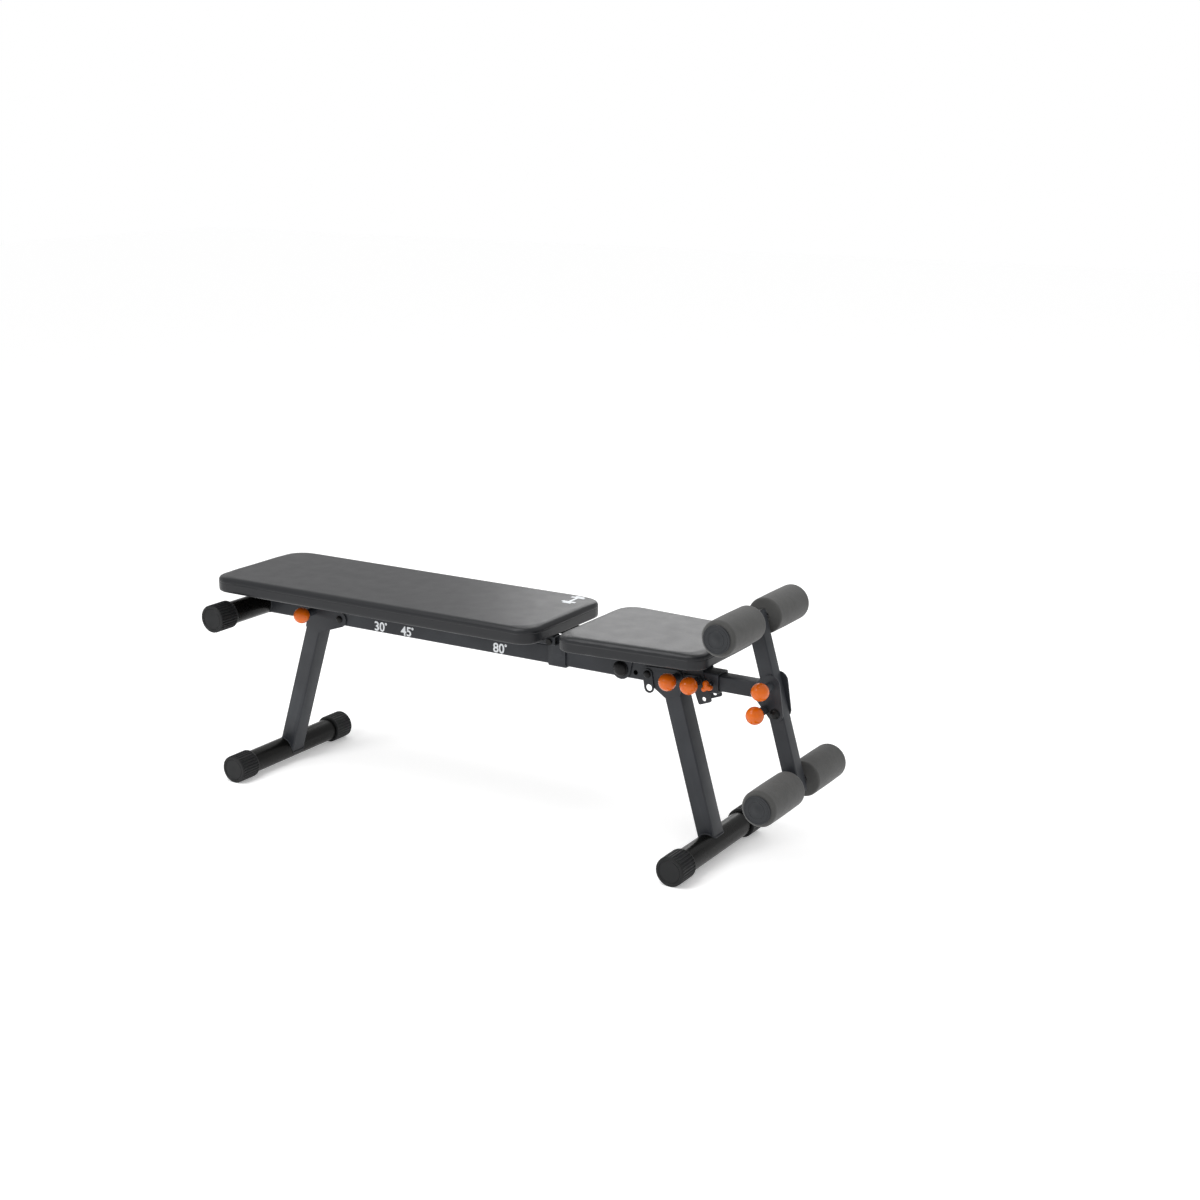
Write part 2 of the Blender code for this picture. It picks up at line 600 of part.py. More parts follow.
def add_seat(bench):
    seat = bench.joint("seat_pivot", *SEAT_PIVOT)
    corners = [(SEAT_REAR_X, -SEAT_REAR_HALF), (SEAT_FRONT_X, -SEAT_FRONT_HALF),
               (SEAT_FRONT_X, SEAT_FRONT_HALF), (SEAT_REAR_X, SEAT_REAR_HALF)]
    cushion = prism(rounded(corners, SEAT_CORNER, 8), PAD_SPLIT + GAP, SEAT_TOP, along_z)
    bench.add("seat_cushion", cushion, "vinyl", seat)
    inset = [(x + math.copysign(BOARD_INSET, 1.0 - x), y - math.copysign(BOARD_INSET, y))
             for x, y in corners]
    board = prism(rounded(inset, SEAT_CORNER - BOARD_INSET, 8), SEAT_BOTTOM, PAD_SPLIT, along_z)
    bench.add("seat_board", board, "board", seat)

    top = SEAT_BOTTOM - GAP
    under = top - PLATE
    plate = rectangle(0.210, 2 * (EAR_OUT - LAP), (0.967, 0.0))
    bracket = prism(plate, under, top, along_z)
    bracket_object = bench.add("seat_bracket", bracket, "frame", seat)
    cheek = hull([(*SEAT_PIVOT, 0.022), (0.866, top - 0.004, 0.0035), (0.924, top - 0.004, 0.0035)])
    right = prism(cheek, -EAR_OUT, -EAR_IN, along_y)
    lug_out = EAR_IN - 0.0012
    lug = hull([(*POST_PIVOT, 0.009), (1.046, top - 0.0035, 0.002), (1.066, top - 0.0035, 0.002)])
    lug_right = prism(lug, -lug_out, -lug_out + PLATE, along_y)
    bench.union(bracket_object, right, mirrored(right), lug_right, mirrored(lug_right))
    bench.cut(bracket_object, drill(SEAT_PIVOT, BOLT_HOLE_R), drill(POST_PIVOT, SMALL_HOLE_R))

    bolt(bench, "seat_post_bolt", POST_PIVOT, SMALL_BOLT_R, EAR_OUT + GAP, 0.0065, 0.003, seat)

    post = bench.joint("seat_post_pivot", *POST_PIVOT)
    frame = leaning(POST_PIVOT, POST_LOCK)
    corners = [(-POST_W / 2, -0.0060), (POST_W / 2, -0.0060), (POST_W / 2, POST_END), (-POST_W / 2, POST_END)]
    outline = [(frame(u, 0, d).x, frame(u, 0, d).z) for u, d in rounded(corners, 0.004, 3)]
    holes = [(frame(0, 0, d).x, frame(0, 0, d).z) for d in POST_HOLES]
    right = prism(outline[::-1], -EAR_OUT, -EAR_IN, along_y)
    for side, plate in (("left", mirrored(right)), ("right", right)):
        strut = bench.add("seat_post_" + side, plate, "frame", post)
        bench.cut(strut, drill(POST_PIVOT, SMALL_HOLE_R), *(drill(hole, PIN_HOLE_R) for hole in holes))


# ---- extension and leg hold ------------------------------------------------------------------------

def add_extension(bench):
    slide = bench.joint("extension_slide", BEAM_END_X, RAIL_Z)
    tube = square_tube(TUBE_W, TUBE_W, RAIL_WALL, EXTENSION_REAR_X, EXTENSION_END_X, at_rail_height, 0.002)
    bench.add("extension_tube", tube, "frame", slide)

    inner = TUBE_W / 2 + GAP
    outer = inner + PLATE
    cheek = hull([(*HOLD_PIVOT, 0.0165), (UPPER_LOCK[0], UPPER_LOCK[1] + 0.002, 0.020),
                  (1.199, RAIL_Z, 0.017)])
    right = prism(cheek, -outer, -inner, along_y)
    cheek_left = bench.add("extension_cheek_left", mirrored(right), "frame", slide)
    cheek_right = bench.add("extension_cheek_right", right, "frame", slide)
    bench.cut(cheek_left, drill(HOLD_PIVOT, BOLT_HOLE_R), drill(UPPER_LOCK, PIN_HOLE_R),
              drill(LOWER_LOCK, PIN_HOLE_R))
    bench.cut(cheek_right, drill(HOLD_PIVOT, BOLT_HOLE_R))

    bolt(bench, "leg_hold_bolt", HOLD_PIVOT, BOLT_R, outer + GAP, 0.0115, 0.006, slide)
    add_barrel(bench, cheek_right, UPPER_LOCK, -outer)
    add_barrel(bench, cheek_right, LOWER_LOCK, -outer)
    pull_pin(bench, "upper_lock_pin", UPPER_LOCK, -inner - 0.0002)
    pull_pin(bench, "lower_lock_pin", LOWER_LOCK, -inner - 0.0002)
    add_wing_knob(bench)


def add_wing_knob(bench):
    """A three-lobed screw that clamps the extension tube."""
    x, z = WING_AXIS
    wing = bench.joint("wing_knob_turn", x, z, -0.037)
    lobes = 30
    outline = []
    for i in range(lobes):
        angle = 2 * math.pi * i / lobes
        radius = WING_R + WING_LOBE * math.cos(3 * angle + 0.6)
        outline.append((x + radius * math.cos(angle), z + radius * math.sin(angle)))
    knob = bench.add("wing_knob", prism(outline, -0.0450, -0.0330, along_y), "knob", wing)
    bench.cut(knob, drill(WING_AXIS, PIN_HOLE_R, low=-0.0420, high=0.0))
    screw = [(0, -0.0417), (PIN_R, -0.0417), (PIN_R, -0.0327), (0.0065, -0.0327), (0.0065, -0.0290),
             (PIN_R, -0.0290), (PIN_R, -0.0168), (0, -0.0168)]
    bench.add("wing_screw", turned(screw, x, z, 12), "steel", wing)


def add_leg_hold(bench):
    hold = bench.joint("leg_hold_pivot", *HOLD_PIVOT)
    frame = leaning(HOLD_DOWN, HOLD_UP)
    length = distance(HOLD_DOWN, HOLD_UP)
    arm = square_tube(TUBE_W, TUBE_W - 0.0006, RAIL_WALL, -0.016, length + 0.016, frame, 0.002)
    arm_object = bench.add("leg_hold_arm", arm, "frame", hold)
    ends = (HOLD_UP, HOLD_DOWN)
    bench.cut(arm_object, drill(HOLD_PIVOT, BOLT_HOLE_R), *(drill(p, ROLLER_BAR_R + GAP) for p in ends),
              drill(UPPER_LOCK, PIN_HOLE_R))

    reach = ROLLER_OUT + 0.0030
    disc = [(ROLLER_BAR_R + GAP, -reach - 0.0005), (END_CAP_R - 0.0015, -reach - 0.0005),
            (END_CAP_R, -reach + 0.0010), (END_CAP_R, -ROLLER_OUT - 0.0008),
            (ROLLER_BAR_R + GAP, -ROLLER_OUT - 0.0008)]
    for level, point in (("upper", HOLD_UP), ("lower", HOLD_DOWN)):
        bar = prism(circle(ROLLER_BAR_R, 16, point), -reach, reach, along_y)
        bench.add(level + "_roller_bar", bar, "steel", hold)
        right = turned(disc, *point)
        bench.add(level + "_end_cap_left", mirrored(right), "plastic", hold)
        bench.add(level + "_end_cap_right", right, "plastic", hold)

    soft = 0.010
    bore = ROLLER_BAR_R + GAP
    for level, (x, z) in (("upper", HOLD_UP), ("lower", HOLD_DOWN)):
        for side, name in ((-1, "right"), (1, "left")):
            arc = [(ROLLER_R - soft + soft * math.sin(a), -ROLLER_OUT + soft - soft * math.cos(a))
                   for a in (0, math.pi / 6, math.pi / 3, math.pi / 2)]
            profile = [(bore, -ROLLER_OUT)] + arc + [(ROLLER_R, -ROLLER_IN - 0.004),
                                                     (ROLLER_R - 0.004, -ROLLER_IN), (bore, -ROLLER_IN)]
            foam = turned(profile, x, z, CROSS_SIDES)
            spin = bench.joint("%s_%s_spin" % (level, name), x, z, side * 0.095)
            bench.add("%s_roller_%s" % (level, name), foam if side < 0 else mirrored(foam), "foam", spin)


def main():
    for old in list(bpy.data.objects):
        bpy.data.objects.remove(old)
    bench = Bench()
    add_frame(bench)
    add_legs(bench)
    add_backrest(bench)
    add_seat(bench)
    add_extension(bench)
    add_leg_hold(bench)
    bpy.context.view_layer.update()


main()
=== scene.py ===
"""Looks of the adjustable weight bench: finishes, upholstery, foam rollers, moulded caps and knobs.

Every piece is placed from the frame's own boxes. The bench stands along X, with its head end at -X,
its leg hold at +X and its lock pins pulled out towards -Y. All lengths are in metres.
"""

from __future__ import annotations

import json
import logging
import math
from dataclasses import dataclass
from enum import Enum
from typing import Iterable, Optional, Sequence

import bpy
import bmesh
import numpy as np
from mathutils import Matrix, Vector
from mathutils.bvhtree import BVHTree

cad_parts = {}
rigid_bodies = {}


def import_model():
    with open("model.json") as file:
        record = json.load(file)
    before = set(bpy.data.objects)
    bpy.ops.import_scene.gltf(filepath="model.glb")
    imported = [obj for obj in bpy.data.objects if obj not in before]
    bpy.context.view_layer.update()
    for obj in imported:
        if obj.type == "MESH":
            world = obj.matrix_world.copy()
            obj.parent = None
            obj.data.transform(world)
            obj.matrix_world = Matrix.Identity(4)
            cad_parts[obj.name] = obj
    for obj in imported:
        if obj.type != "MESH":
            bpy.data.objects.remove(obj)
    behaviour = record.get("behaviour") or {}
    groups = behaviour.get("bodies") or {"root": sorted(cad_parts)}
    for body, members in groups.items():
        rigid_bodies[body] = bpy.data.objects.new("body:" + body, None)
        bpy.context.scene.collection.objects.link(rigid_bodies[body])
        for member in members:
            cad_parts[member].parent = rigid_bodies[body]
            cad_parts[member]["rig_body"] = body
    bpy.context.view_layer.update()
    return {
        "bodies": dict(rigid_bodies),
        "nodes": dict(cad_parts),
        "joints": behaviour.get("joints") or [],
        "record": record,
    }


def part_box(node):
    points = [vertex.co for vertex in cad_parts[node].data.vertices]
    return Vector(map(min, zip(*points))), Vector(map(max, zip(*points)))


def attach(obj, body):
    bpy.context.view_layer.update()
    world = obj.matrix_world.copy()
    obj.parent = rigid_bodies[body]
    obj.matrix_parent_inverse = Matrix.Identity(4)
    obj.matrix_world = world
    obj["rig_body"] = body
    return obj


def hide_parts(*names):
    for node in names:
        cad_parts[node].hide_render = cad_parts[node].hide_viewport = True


LOG = logging.getLogger("bench")

CLEARANCE = 0.0003
"""Gap between a turned bore and what goes through it."""

Grid = np.ndarray
Rows = tuple[tuple[float, float], ...]
Tree = bpy.types.NodeTree
Node = bpy.types.Node
Socket = bpy.types.NodeSocket
Links = dict[object, Socket]


class Side(Enum):
    """The two sides of the bench, as the sign of Y."""

    LEFT = 1
    RIGHT = -1


# ---- colour and nodes ----


def linear(colour: str) -> tuple[float, float, float, float]:
    """Turns an sRGB hex colour into linear RGBA.

    Args:
        colour: Six hex digits after a hash.

    Returns:
        Linear red, green, blue and an alpha of 1.
    """
    channels = [int(colour[i:i + 2], 16) / 255.0 for i in (1, 3, 5)]
    red, green, blue = (c / 12.92 if c <= 0.04045 else ((c + 0.055) / 1.055) ** 2.4 for c in channels)
    return red, green, blue, 1.0


def add_node(tree: Tree, kind: str, settings: Optional[dict[object, object]] = None,
             links: Optional[Links] = None, **options: object) -> Node:
    """Adds a node, sets its sockets and options, and links its inputs.

    Args:
        tree: Node tree of a material or a world.
        kind: Blender's node type, such as ShaderNodeBump.
        settings: Values by input socket name or index.
        links: Sockets to read from, by input socket name or index.
        **options: Attributes of the node itself.

    Returns:
        The new node.
    """
    node = tree.nodes.new(kind)
    for key, value in options.items():
        setattr(node, key, value)
    for key, value in (settings or {}).items():
        node.inputs[key].default_value = value
    for key, socket in (links or {}).items():
        tree.links.new(socket, node.inputs[key])
    return node


# ---- finishes ----


@dataclass(frozen=True)
class Finish:
    """A surface finish: one Principled material with a pattern of its own.

    Attributes:
        name: Name of the material.
        slot: The record's material slot that it belongs to. Not used.
        colour: Main colour, sRGB hex.
        roughness: Mean roughness.
        metallic: 1 for bare metal, otherwise 0.
        ior: Index of refraction of the top layer.
        gleam: Specular level: under 0.5 the top layer is duller than its index alone would make it.
    """

    name: str
    slot: str
    colour: str
    roughness: float
    metallic: float = 0.0
    ior: float = 1.5
    gleam: float = 0.5

    def build(self) -> bpy.types.Material:
        """Makes the material and lets the finish add its pattern."""
        canvas = Canvas(self)
        self.pattern(canvas)
        return canvas.material

    def pattern(self, canvas: Canvas) -> None:
        """Adds the finish's own texture. The plain finish has a faint mottle only."""
        canvas.mottle(0.02, 0.04)


class Canvas:
    """A material while its finish is put on: its nodes, its shader and the object's coordinates."""

    def __init__(self, finish: Finish) -> None:
        """Makes the material with the finish's plain values."""
        self.finish = finish
        self.material = bpy.data.materials.new(finish.name)
        self.material.use_nodes = True
        self.tree = self.material.node_tree
        self.shader = self.tree.nodes["Principled BSDF"]
        self.put({"Base Color": linear(finish.colour), "Roughness": finish.roughness,
                  "Metallic": finish.metallic})
        if not finish.metallic:
            self.put({"IOR": finish.ior, "Specular IOR Level": finish.gleam})
        self.place = self.add("ShaderNodeTexCoord").outputs["Object"]

    def put(self, values: dict[str, object]) -> None:
        """Sets inputs of the shader."""
        for key, value in values.items():
            self.shader.inputs[key].default_value = value

    def add(self, kind: str, settings: Optional[dict[object, object]] = None,
            links: Optional[Links] = None, **options: object) -> Node:
        """Adds a node to the material, as add_node does."""
        return add_node(self.tree, kind, settings, links, **options)

    def noise(self, size: float, detail: float = 2.0, roughness: float = 0.5,
              place: Optional[Socket] = None) -> Socket:
        """Noise whose features are about size metres across."""
        settings = {"Scale": 1.0 / size, "Detail": detail, "Roughness": roughness}
        where = self.place if place is None else place
        return self.add("ShaderNodeTexNoise", settings, {"Vector": where}).outputs["Fac"]

    def cells(self, size: float) -> Socket:
        """Distance from the middle of the nearest cell, in cells about size metres across."""
        settings = {"Scale": 1.0 / size}
        node = self.add("ShaderNodeTexVoronoi", settings, {"Vector": self.place}, feature="F1")
        return node.outputs["Distance"]

    def mottle(self, size: float, spread: float) -> None:
        """Varies the roughness by plus or minus spread over patches of the given size."""
        low, high = self.finish.roughness - spread, self.finish.roughness + spread
        settings = {"From Min": 0.3, "From Max": 0.7, "To Min": low, "To Max": high}
        level = self.add("ShaderNodeMapRange", settings, {"Value": self.noise(size)})
        self.tree.links.new(level.outputs["Result"], self.shader.inputs["Roughness"])

    def tint(self, amount: Socket, other: str) -> None:
        """Mixes the main colour with another by a 0 to 1 amount."""
        settings = {6: linear(self.finish.colour), 7: linear(other)}
        mix = self.add("ShaderNodeMix", settings, {0: amount}, data_type="RGBA")
        self.tree.links.new(mix.outputs[2], self.shader.inputs["Base Color"])

    def relief(self, height: Socket, depth: float, strength: float,
               under: Optional[Socket] = None) -> Socket:
        """Bumps the surface by a height of the given depth in metres, on top of an earlier bump."""
        links: Links = {"Height": height}
        if under is not None:
            links["Normal"] = under
        bump = self.add("ShaderNodeBump", {"Strength": strength, "Distance": depth}, links)
        self.tree.links.new(bump.outputs["Normal"], self.shader.inputs["Normal"])
        return bump.outputs["Normal"]


@dataclass(frozen=True)
class PowderCoat(Finish):
    """Polyester powder coat, sprayed and baked: an even satin with a fine orange peel.

    Attributes:
        peel: Width of one dimple of the orange peel.
        dust: Colour of the dustier patches, sRGB hex.
    """

    peel: float = 0.0014
    dust: str = "#4a4e53"

    def pattern(self, canvas: Canvas) -> None:
        """Orange peel, slight gloss patches and a trace of dust in the colour."""
        canvas.mottle(0.05, 0.05)
        canvas.relief(canvas.noise(self.peel, 1.0), 0.00006, 0.35)
        dust = canvas.add("ShaderNodeMapRange", {"From Min": 0.45, "From Max": 0.8, "To Max": 0.35},
                          {"Value": canvas.noise(0.11, 4.0)})
        canvas.tint(dust.outputs["Result"], self.dust)


@dataclass(frozen=True)
class StovedEnamel(Finish):
    """Gloss black enamel, dipped and stoved: deep and shiny, with a long soft ripple."""

    def pattern(self, canvas: Canvas) -> None:
        """Slightly uneven gloss and a ripple a couple of centimetres long."""
        canvas.mottle(0.03, 0.04)
        canvas.relief(canvas.noise(0.022, 1.0), 0.0002, 0.04)


@dataclass(frozen=True)
class EmbossedVinyl(Finish):
    """Upholstery vinyl, calendered and embossed with a hide grain: satin, with fine pebbles.

    Attributes:
        grain: Width of one pebble.
        shade: Colour of the darker creases, sRGB hex.
        seam_height: Z of the sewn seam that runs round the pad's side.
        seam_width: Distance from the seam at which its furrow ends.
    """

    grain: float = 0.0016
    shade: str = "#1c1d20"
    seam_height: float = 0.44
    seam_width: float = 0.0011

    def pattern(self, canvas: Canvas) -> None:
        """Pebbled hide grain, soft creases, and the seam as a narrow furrow."""
        canvas.mottle(0.035, 0.02)
        pebbled = canvas.relief(canvas.cells(self.grain), 0.00025, 0.30)
        creased = canvas.relief(canvas.noise(0.045, 5.0, 0.62), 0.0014, 0.04, pebbled)
        canvas.relief(self.seam(canvas), 0.0010, 0.6, creased)
        canvas.tint(canvas.noise(0.09, 3.0), self.shade)

    def seam(self, canvas: Canvas) -> Socket:
        """A height that dips within the furrow's width of the seam's level and is 1 elsewhere."""
        level = canvas.add("ShaderNodeSeparateXYZ", links={"Vector": canvas.place}).outputs["Z"]
        away = canvas.add("ShaderNodeMath", {1: self.seam_height}, {0: level}, operation="SUBTRACT")
        size = canvas.add("ShaderNodeMath", links={0: away.outputs[0]}, operation="ABSOLUTE")
        dip = canvas.add("ShaderNodeMapRange", {"From Min": 0.0, "From Max": self.seam_width},
                         {"Value": size.outputs[0]}, interpolation_type="SMOOTHSTEP")
        return dip.outputs["Result"]


@dataclass(frozen=True)
class ClosedCellFoam(Finish):
    """Extruded closed-cell rubber foam: dead matt, with tiny burst cells in its skin.

    Attributes:
        cell: Width of one burst cell.
        cloud: Colour of the paler patches, sRGB hex.
    """

    cell: float = 0.0013
    cloud: str = "#4f4f4e"

    def pattern(self, canvas: Canvas) -> None:
        """Burst cells, a slightly uneven skin and a cloudy grey."""
        canvas.put({"Sheen Weight": 0.25})
        skin = canvas.relief(canvas.cells(self.cell), 0.0004, 0.45)
        canvas.relief(canvas.noise(0.012, 4.0, 0.6), 0.0012, 0.35, skin)
        canvas.tint(canvas.noise(0.02, 5.0), self.cloud)


@dataclass(frozen=True)
class MouldedPlastic(Finish):
    """Injection-moulded polypropylene with a spark-eroded texture: low satin, faint sparkle.

    Attributes:
        spark: Width of one pit of the texture.
    """

    spark: float = 0.0009

    def pattern(self, canvas: Canvas) -> None:
        """Spark-erosion grain and patches where handling has polished it."""
        canvas.mottle(0.015, 0.07)
        canvas.relief(canvas.noise(self.spark), 0.00008, 0.4)


@dataclass(frozen=True)
class GlossKnob(Finish):
    """Glossy moulded phenolic: saturated colour under a hard clear skin.

    Attributes:
        flow: Colour of the flow marks, sRGB hex.
    """

    flow: str = "#c9590a"

    def pattern(self, canvas: Canvas) -> None:
        """A clear coat, slightly uneven gloss and flow marks about a centimetre long."""
        canvas.put({"Coat Weight": 0.25, "Coat Roughness": 0.05})
        canvas.mottle(0.006, 0.03)
        canvas.tint(canvas.noise(0.014), self.flow)


@dataclass(frozen=True)
class ZincPlate(Finish):
    """Bright zinc plate on turned steel: fine rings of tool marks across the axis.

    Attributes:
        pitch: Distance from one tool mark to the next.
    """

    pitch: float = 0.0008

    def pattern(self, canvas: Canvas) -> None:
        """Turning marks that repeat along Y, the axis of every plated piece."""
        wave = canvas.add("ShaderNodeTexWave", {"Scale": 0.35 / self.pitch, "Distortion": 0.6},
                          {"Vector": canvas.place}, bands_direction="Y").outputs["Fac"]
        canvas.relief(wave, 0.00005, 0.25)
        canvas.mottle(0.01, 0.06)


@dataclass(frozen=True)
class ScreenPrint(Finish):
    """White screen-printing ink: flat and thin, with the plain mottle."""


@dataclass(frozen=True)
class SealedPlywood(Finish):
    """Birch plywood under a black stain: long grain still shows through.

    Attributes:
        streak: Colour of the paler grain, sRGB hex.
    """

    streak: str = "#3a3129"

    def pattern(self, canvas: Canvas) -> None:
        """Grain stretched along X, ten times as long as it is wide."""
        stretch = canvas.add("ShaderNodeMapping", {"Scale": (0.1, 1.0, 1.0)}, {"Vector": canvas.place})
        grain = canvas.noise(0.004, 6.0, 0.6, stretch.outputs["Vector"])
        canvas.tint(grain, self.streak)
        canvas.relief(grain, 0.0002, 0.4)


class Palette:
    """Builds each finish once and hands out its material."""

    FRAME = PowderCoat("powder_coat_anthracite", "frame_paint", "#2a2c30", 0.42, gleam=0.27)
    FOOT = StovedEnamel("stoved_enamel_black", "foot_paint", "#0c0c0b", 0.28, gleam=0.16)
    BACK_VINYL = EmbossedVinyl("embossed_vinyl_backrest", "vinyl", "#17181b", 0.36, gleam=0.33,
                               seam_height=0.4385)
    # Painted light: the seat's vinyl is the backrest's vinyl made a shade lighter, for the brighter
    # light that falls on the seat.
    SEAT_VINYL = EmbossedVinyl("embossed_vinyl_seat", "vinyl", "#191a1d", 0.36, gleam=0.33,
                               seam_height=0.4375)
    FOAM = ClosedCellFoam("closed_cell_foam", "foam", "#414140", 0.92, gleam=0.2)
    PLASTIC = MouldedPlastic("moulded_polypropylene", "plastic", "#18191a", 0.46, gleam=0.24)
    DISC = MouldedPlastic("moulded_end_disc", "plastic", "#26282b", 0.42, gleam=0.30)
    KNOB = GlossKnob("gloss_phenolic_orange", "knob", "#e36c0a", 0.22, gleam=0.25)
    ZINC = ZincPlate("zinc_plated_steel", "steel", "#b9bbbd", 0.30, metallic=1.0)
    BOLT = StovedEnamel("black_bolt_enamel", "bolt", "#101011", 0.28, gleam=0.20)
    PRINT = ScreenPrint("screen_print_white", "frame_paint", "#e9ecef", 0.55)
    PLY = SealedPlywood("sealed_plywood", "board", "#1f1c19", 0.65)

    def __init__(self) -> None:
        """Starts with no material built."""
        self.built: dict[Finish, bpy.types.Material] = {}

    def material(self, finish: Finish) -> bpy.types.Material:
        """Returns the finish's material, building it the first time it is asked for."""
        if finish not in self.built:
            self.built[finish] = finish.build()
        return self.built[finish]


# ---- meshes ----


def angles(count: int) -> np.ndarray:
    """Angles from 0 at equal steps round a full turn."""
    return np.linspace(0.0, 2 * math.pi, count, endpoint=False)


def rounded_square(count: int) -> tuple[np.ndarray, np.ndarray]:
    """The x and y of points on a rounded square of half width 1: |x|^8 + |y|^8 = 1."""
    c, s = np.cos(angles(count)), np.sin(angles(count))
    scale = (np.abs(c) ** 8 + np.abs(s) ** 8) ** (-1 / 8)
    return c * scale, s * scale


def ring_faces(rings: int, around: int) -> np.ndarray:
    """Quads between consecutive closed rings of points: ring i to i+1, point j to j+1."""
    i, j = np.meshgrid(np.arange(rings - 1), np.arange(around), indexing="ij")
    k = (j + 1) % around
    quads = np.stack([i * around + j, i * around + k, (i + 1) * around + k, (i + 1) * around + j], -1)
    return quads.reshape(-1, 4)


def tube_mesh(name: str, grid: Grid, closed: bool = False) -> bpy.types.Mesh:
    """Makes a closed mesh from rings of points.

    Args:
        name: Name of the mesh.
        grid: Array (rings, points, 3). Each ring is closed on itself.
        closed: Whether the last ring joins the first. Otherwise the end rings get flat caps.

    Returns:
        The mesh, with its faces pointing outwards.
    """
    rings, around = grid.shape[:2]
    faces = ring_faces(rings, around)
    if closed:
        last = np.arange(around) + (rings - 1) * around
        first = np.arange(around)
        seam = np.stack([last, np.roll(last, -1), np.roll(first, -1), first], -1)
        faces = np.concatenate([faces, seam])
    polygons = faces.tolist()
    if not closed:
        polygons.append(list(range(around))[::-1])
        polygons.append(list(range((rings - 1) * around, rings * around)))
    points = grid.reshape(-1, 3)
    if signed_volume(points, polygons) < 0:
        polygons = [face[::-1] for face in polygons]
    mesh = bpy.data.meshes.new(name)
    mesh.from_pydata(points.tolist(), [], polygons)
    mesh.update()
    return mesh


def signed_volume(points: np.ndarray, polygons: Sequence[Sequence[int]]) -> float:
    """Sum over triangle fans of a.(b x c)/6, which is negative for an inside-out shell."""
    triangles = np.array([(f[0], f[i], f[i + 1]) for f in polygons for i in range(1, len(f) - 1)])
    a, b, c = (points[triangles[:, k]] for k in range(3))
    return float(np.einsum("ij,ij->i", a, np.cross(b, c)).sum() / 6.0)


def merged(name: str, meshes: Iterable[bpy.types.Mesh]) -> bpy.types.Mesh:
    """Puts several meshes into one and removes the originals."""
    bm = bmesh.new()
    for mesh in meshes:
        bm.from_mesh(mesh)
        bpy.data.meshes.remove(mesh)
    whole = bpy.data.meshes.new(name)
    bm.to_mesh(whole)
    bm.free()
    return whole


def fillet(start: tuple[float, float], corner: tuple[float, float], end: tuple[float, float],
           steps: int = 6) -> np.ndarray:
    """Rounds a corner c between a and b with the curve (1-t)^2 a + 2t(1-t) c + t^2 b.

    Args:
        start: Where the curve starts.
        corner: The corner that pulls it.
        end: Where it ends.
        steps: Number of points.

    Returns:
        Array (steps, 2).
    """
    t = np.linspace(0.0, 1.0, steps)[:, None]
    pulled = 2 * t * (1 - t) * np.array(corner)
    return (1 - t) ** 2 * np.array(start) + pulled + t ** 2 * np.array(end)


def turned(centre: Vector, profile: np.ndarray, sides: int = 96,
           radius_wave: Optional[np.ndarray] = None) -> Grid:
    """Turns a profile about a line along Y.

    The point at angle a and profile row (r, w) is centre + (r cos a, w, r sin a). A radius wave
    (rows, sides) is added to r.

    Args:
        centre: Point on the axis that the profile's w is measured from.
        profile: Array (rows, 2) of radius and distance along Y.
        sides: Number of points round the axis.
        radius_wave: Change of radius at each row and angle.

    Returns:
        Array (rows, sides, 3).
    """
    angle = angles(sides)
    radius = np.repeat(profile[:, :1], sides, axis=1)
    if radius_wave is not None:
        radius = radius + radius_wave
    along = np.repeat(profile[:, 1:2], sides, axis=1)
    return np.stack([centre.x + radius * np.cos(angle), centre.y + along,
                     centre.z + radius * np.sin(angle)], axis=-1)


def smooth(mesh: bpy.types.Mesh, degrees: float = 35.0) -> None:
    """Shades a mesh smooth, with an edge kept where its faces meet at more than the angle."""
    mesh.shade_smooth()
    mesh.set_sharp_from_angle(angle=math.radians(degrees))


def box_middle(node: str) -> Vector:
    """Middle of a CAD node's box."""
    low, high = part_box(node)
    return (low + high) / 2


@dataclass(frozen=True)
class Barrel:
    """Measures of a CAD node that is round about a line along Y.

    Attributes:
        centre: Middle of its box.
        radius: Half its height.
        half: Half its length.
    """

    centre: Vector
    radius: float
    half: float

    @classmethod
    def of(cls, node: str) -> Barrel:
        """Measures a CAD node by its box."""
        low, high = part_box(node)
        return cls((low + high) / 2, (high.z - low.z) / 2, (high.y - low.y) / 2)


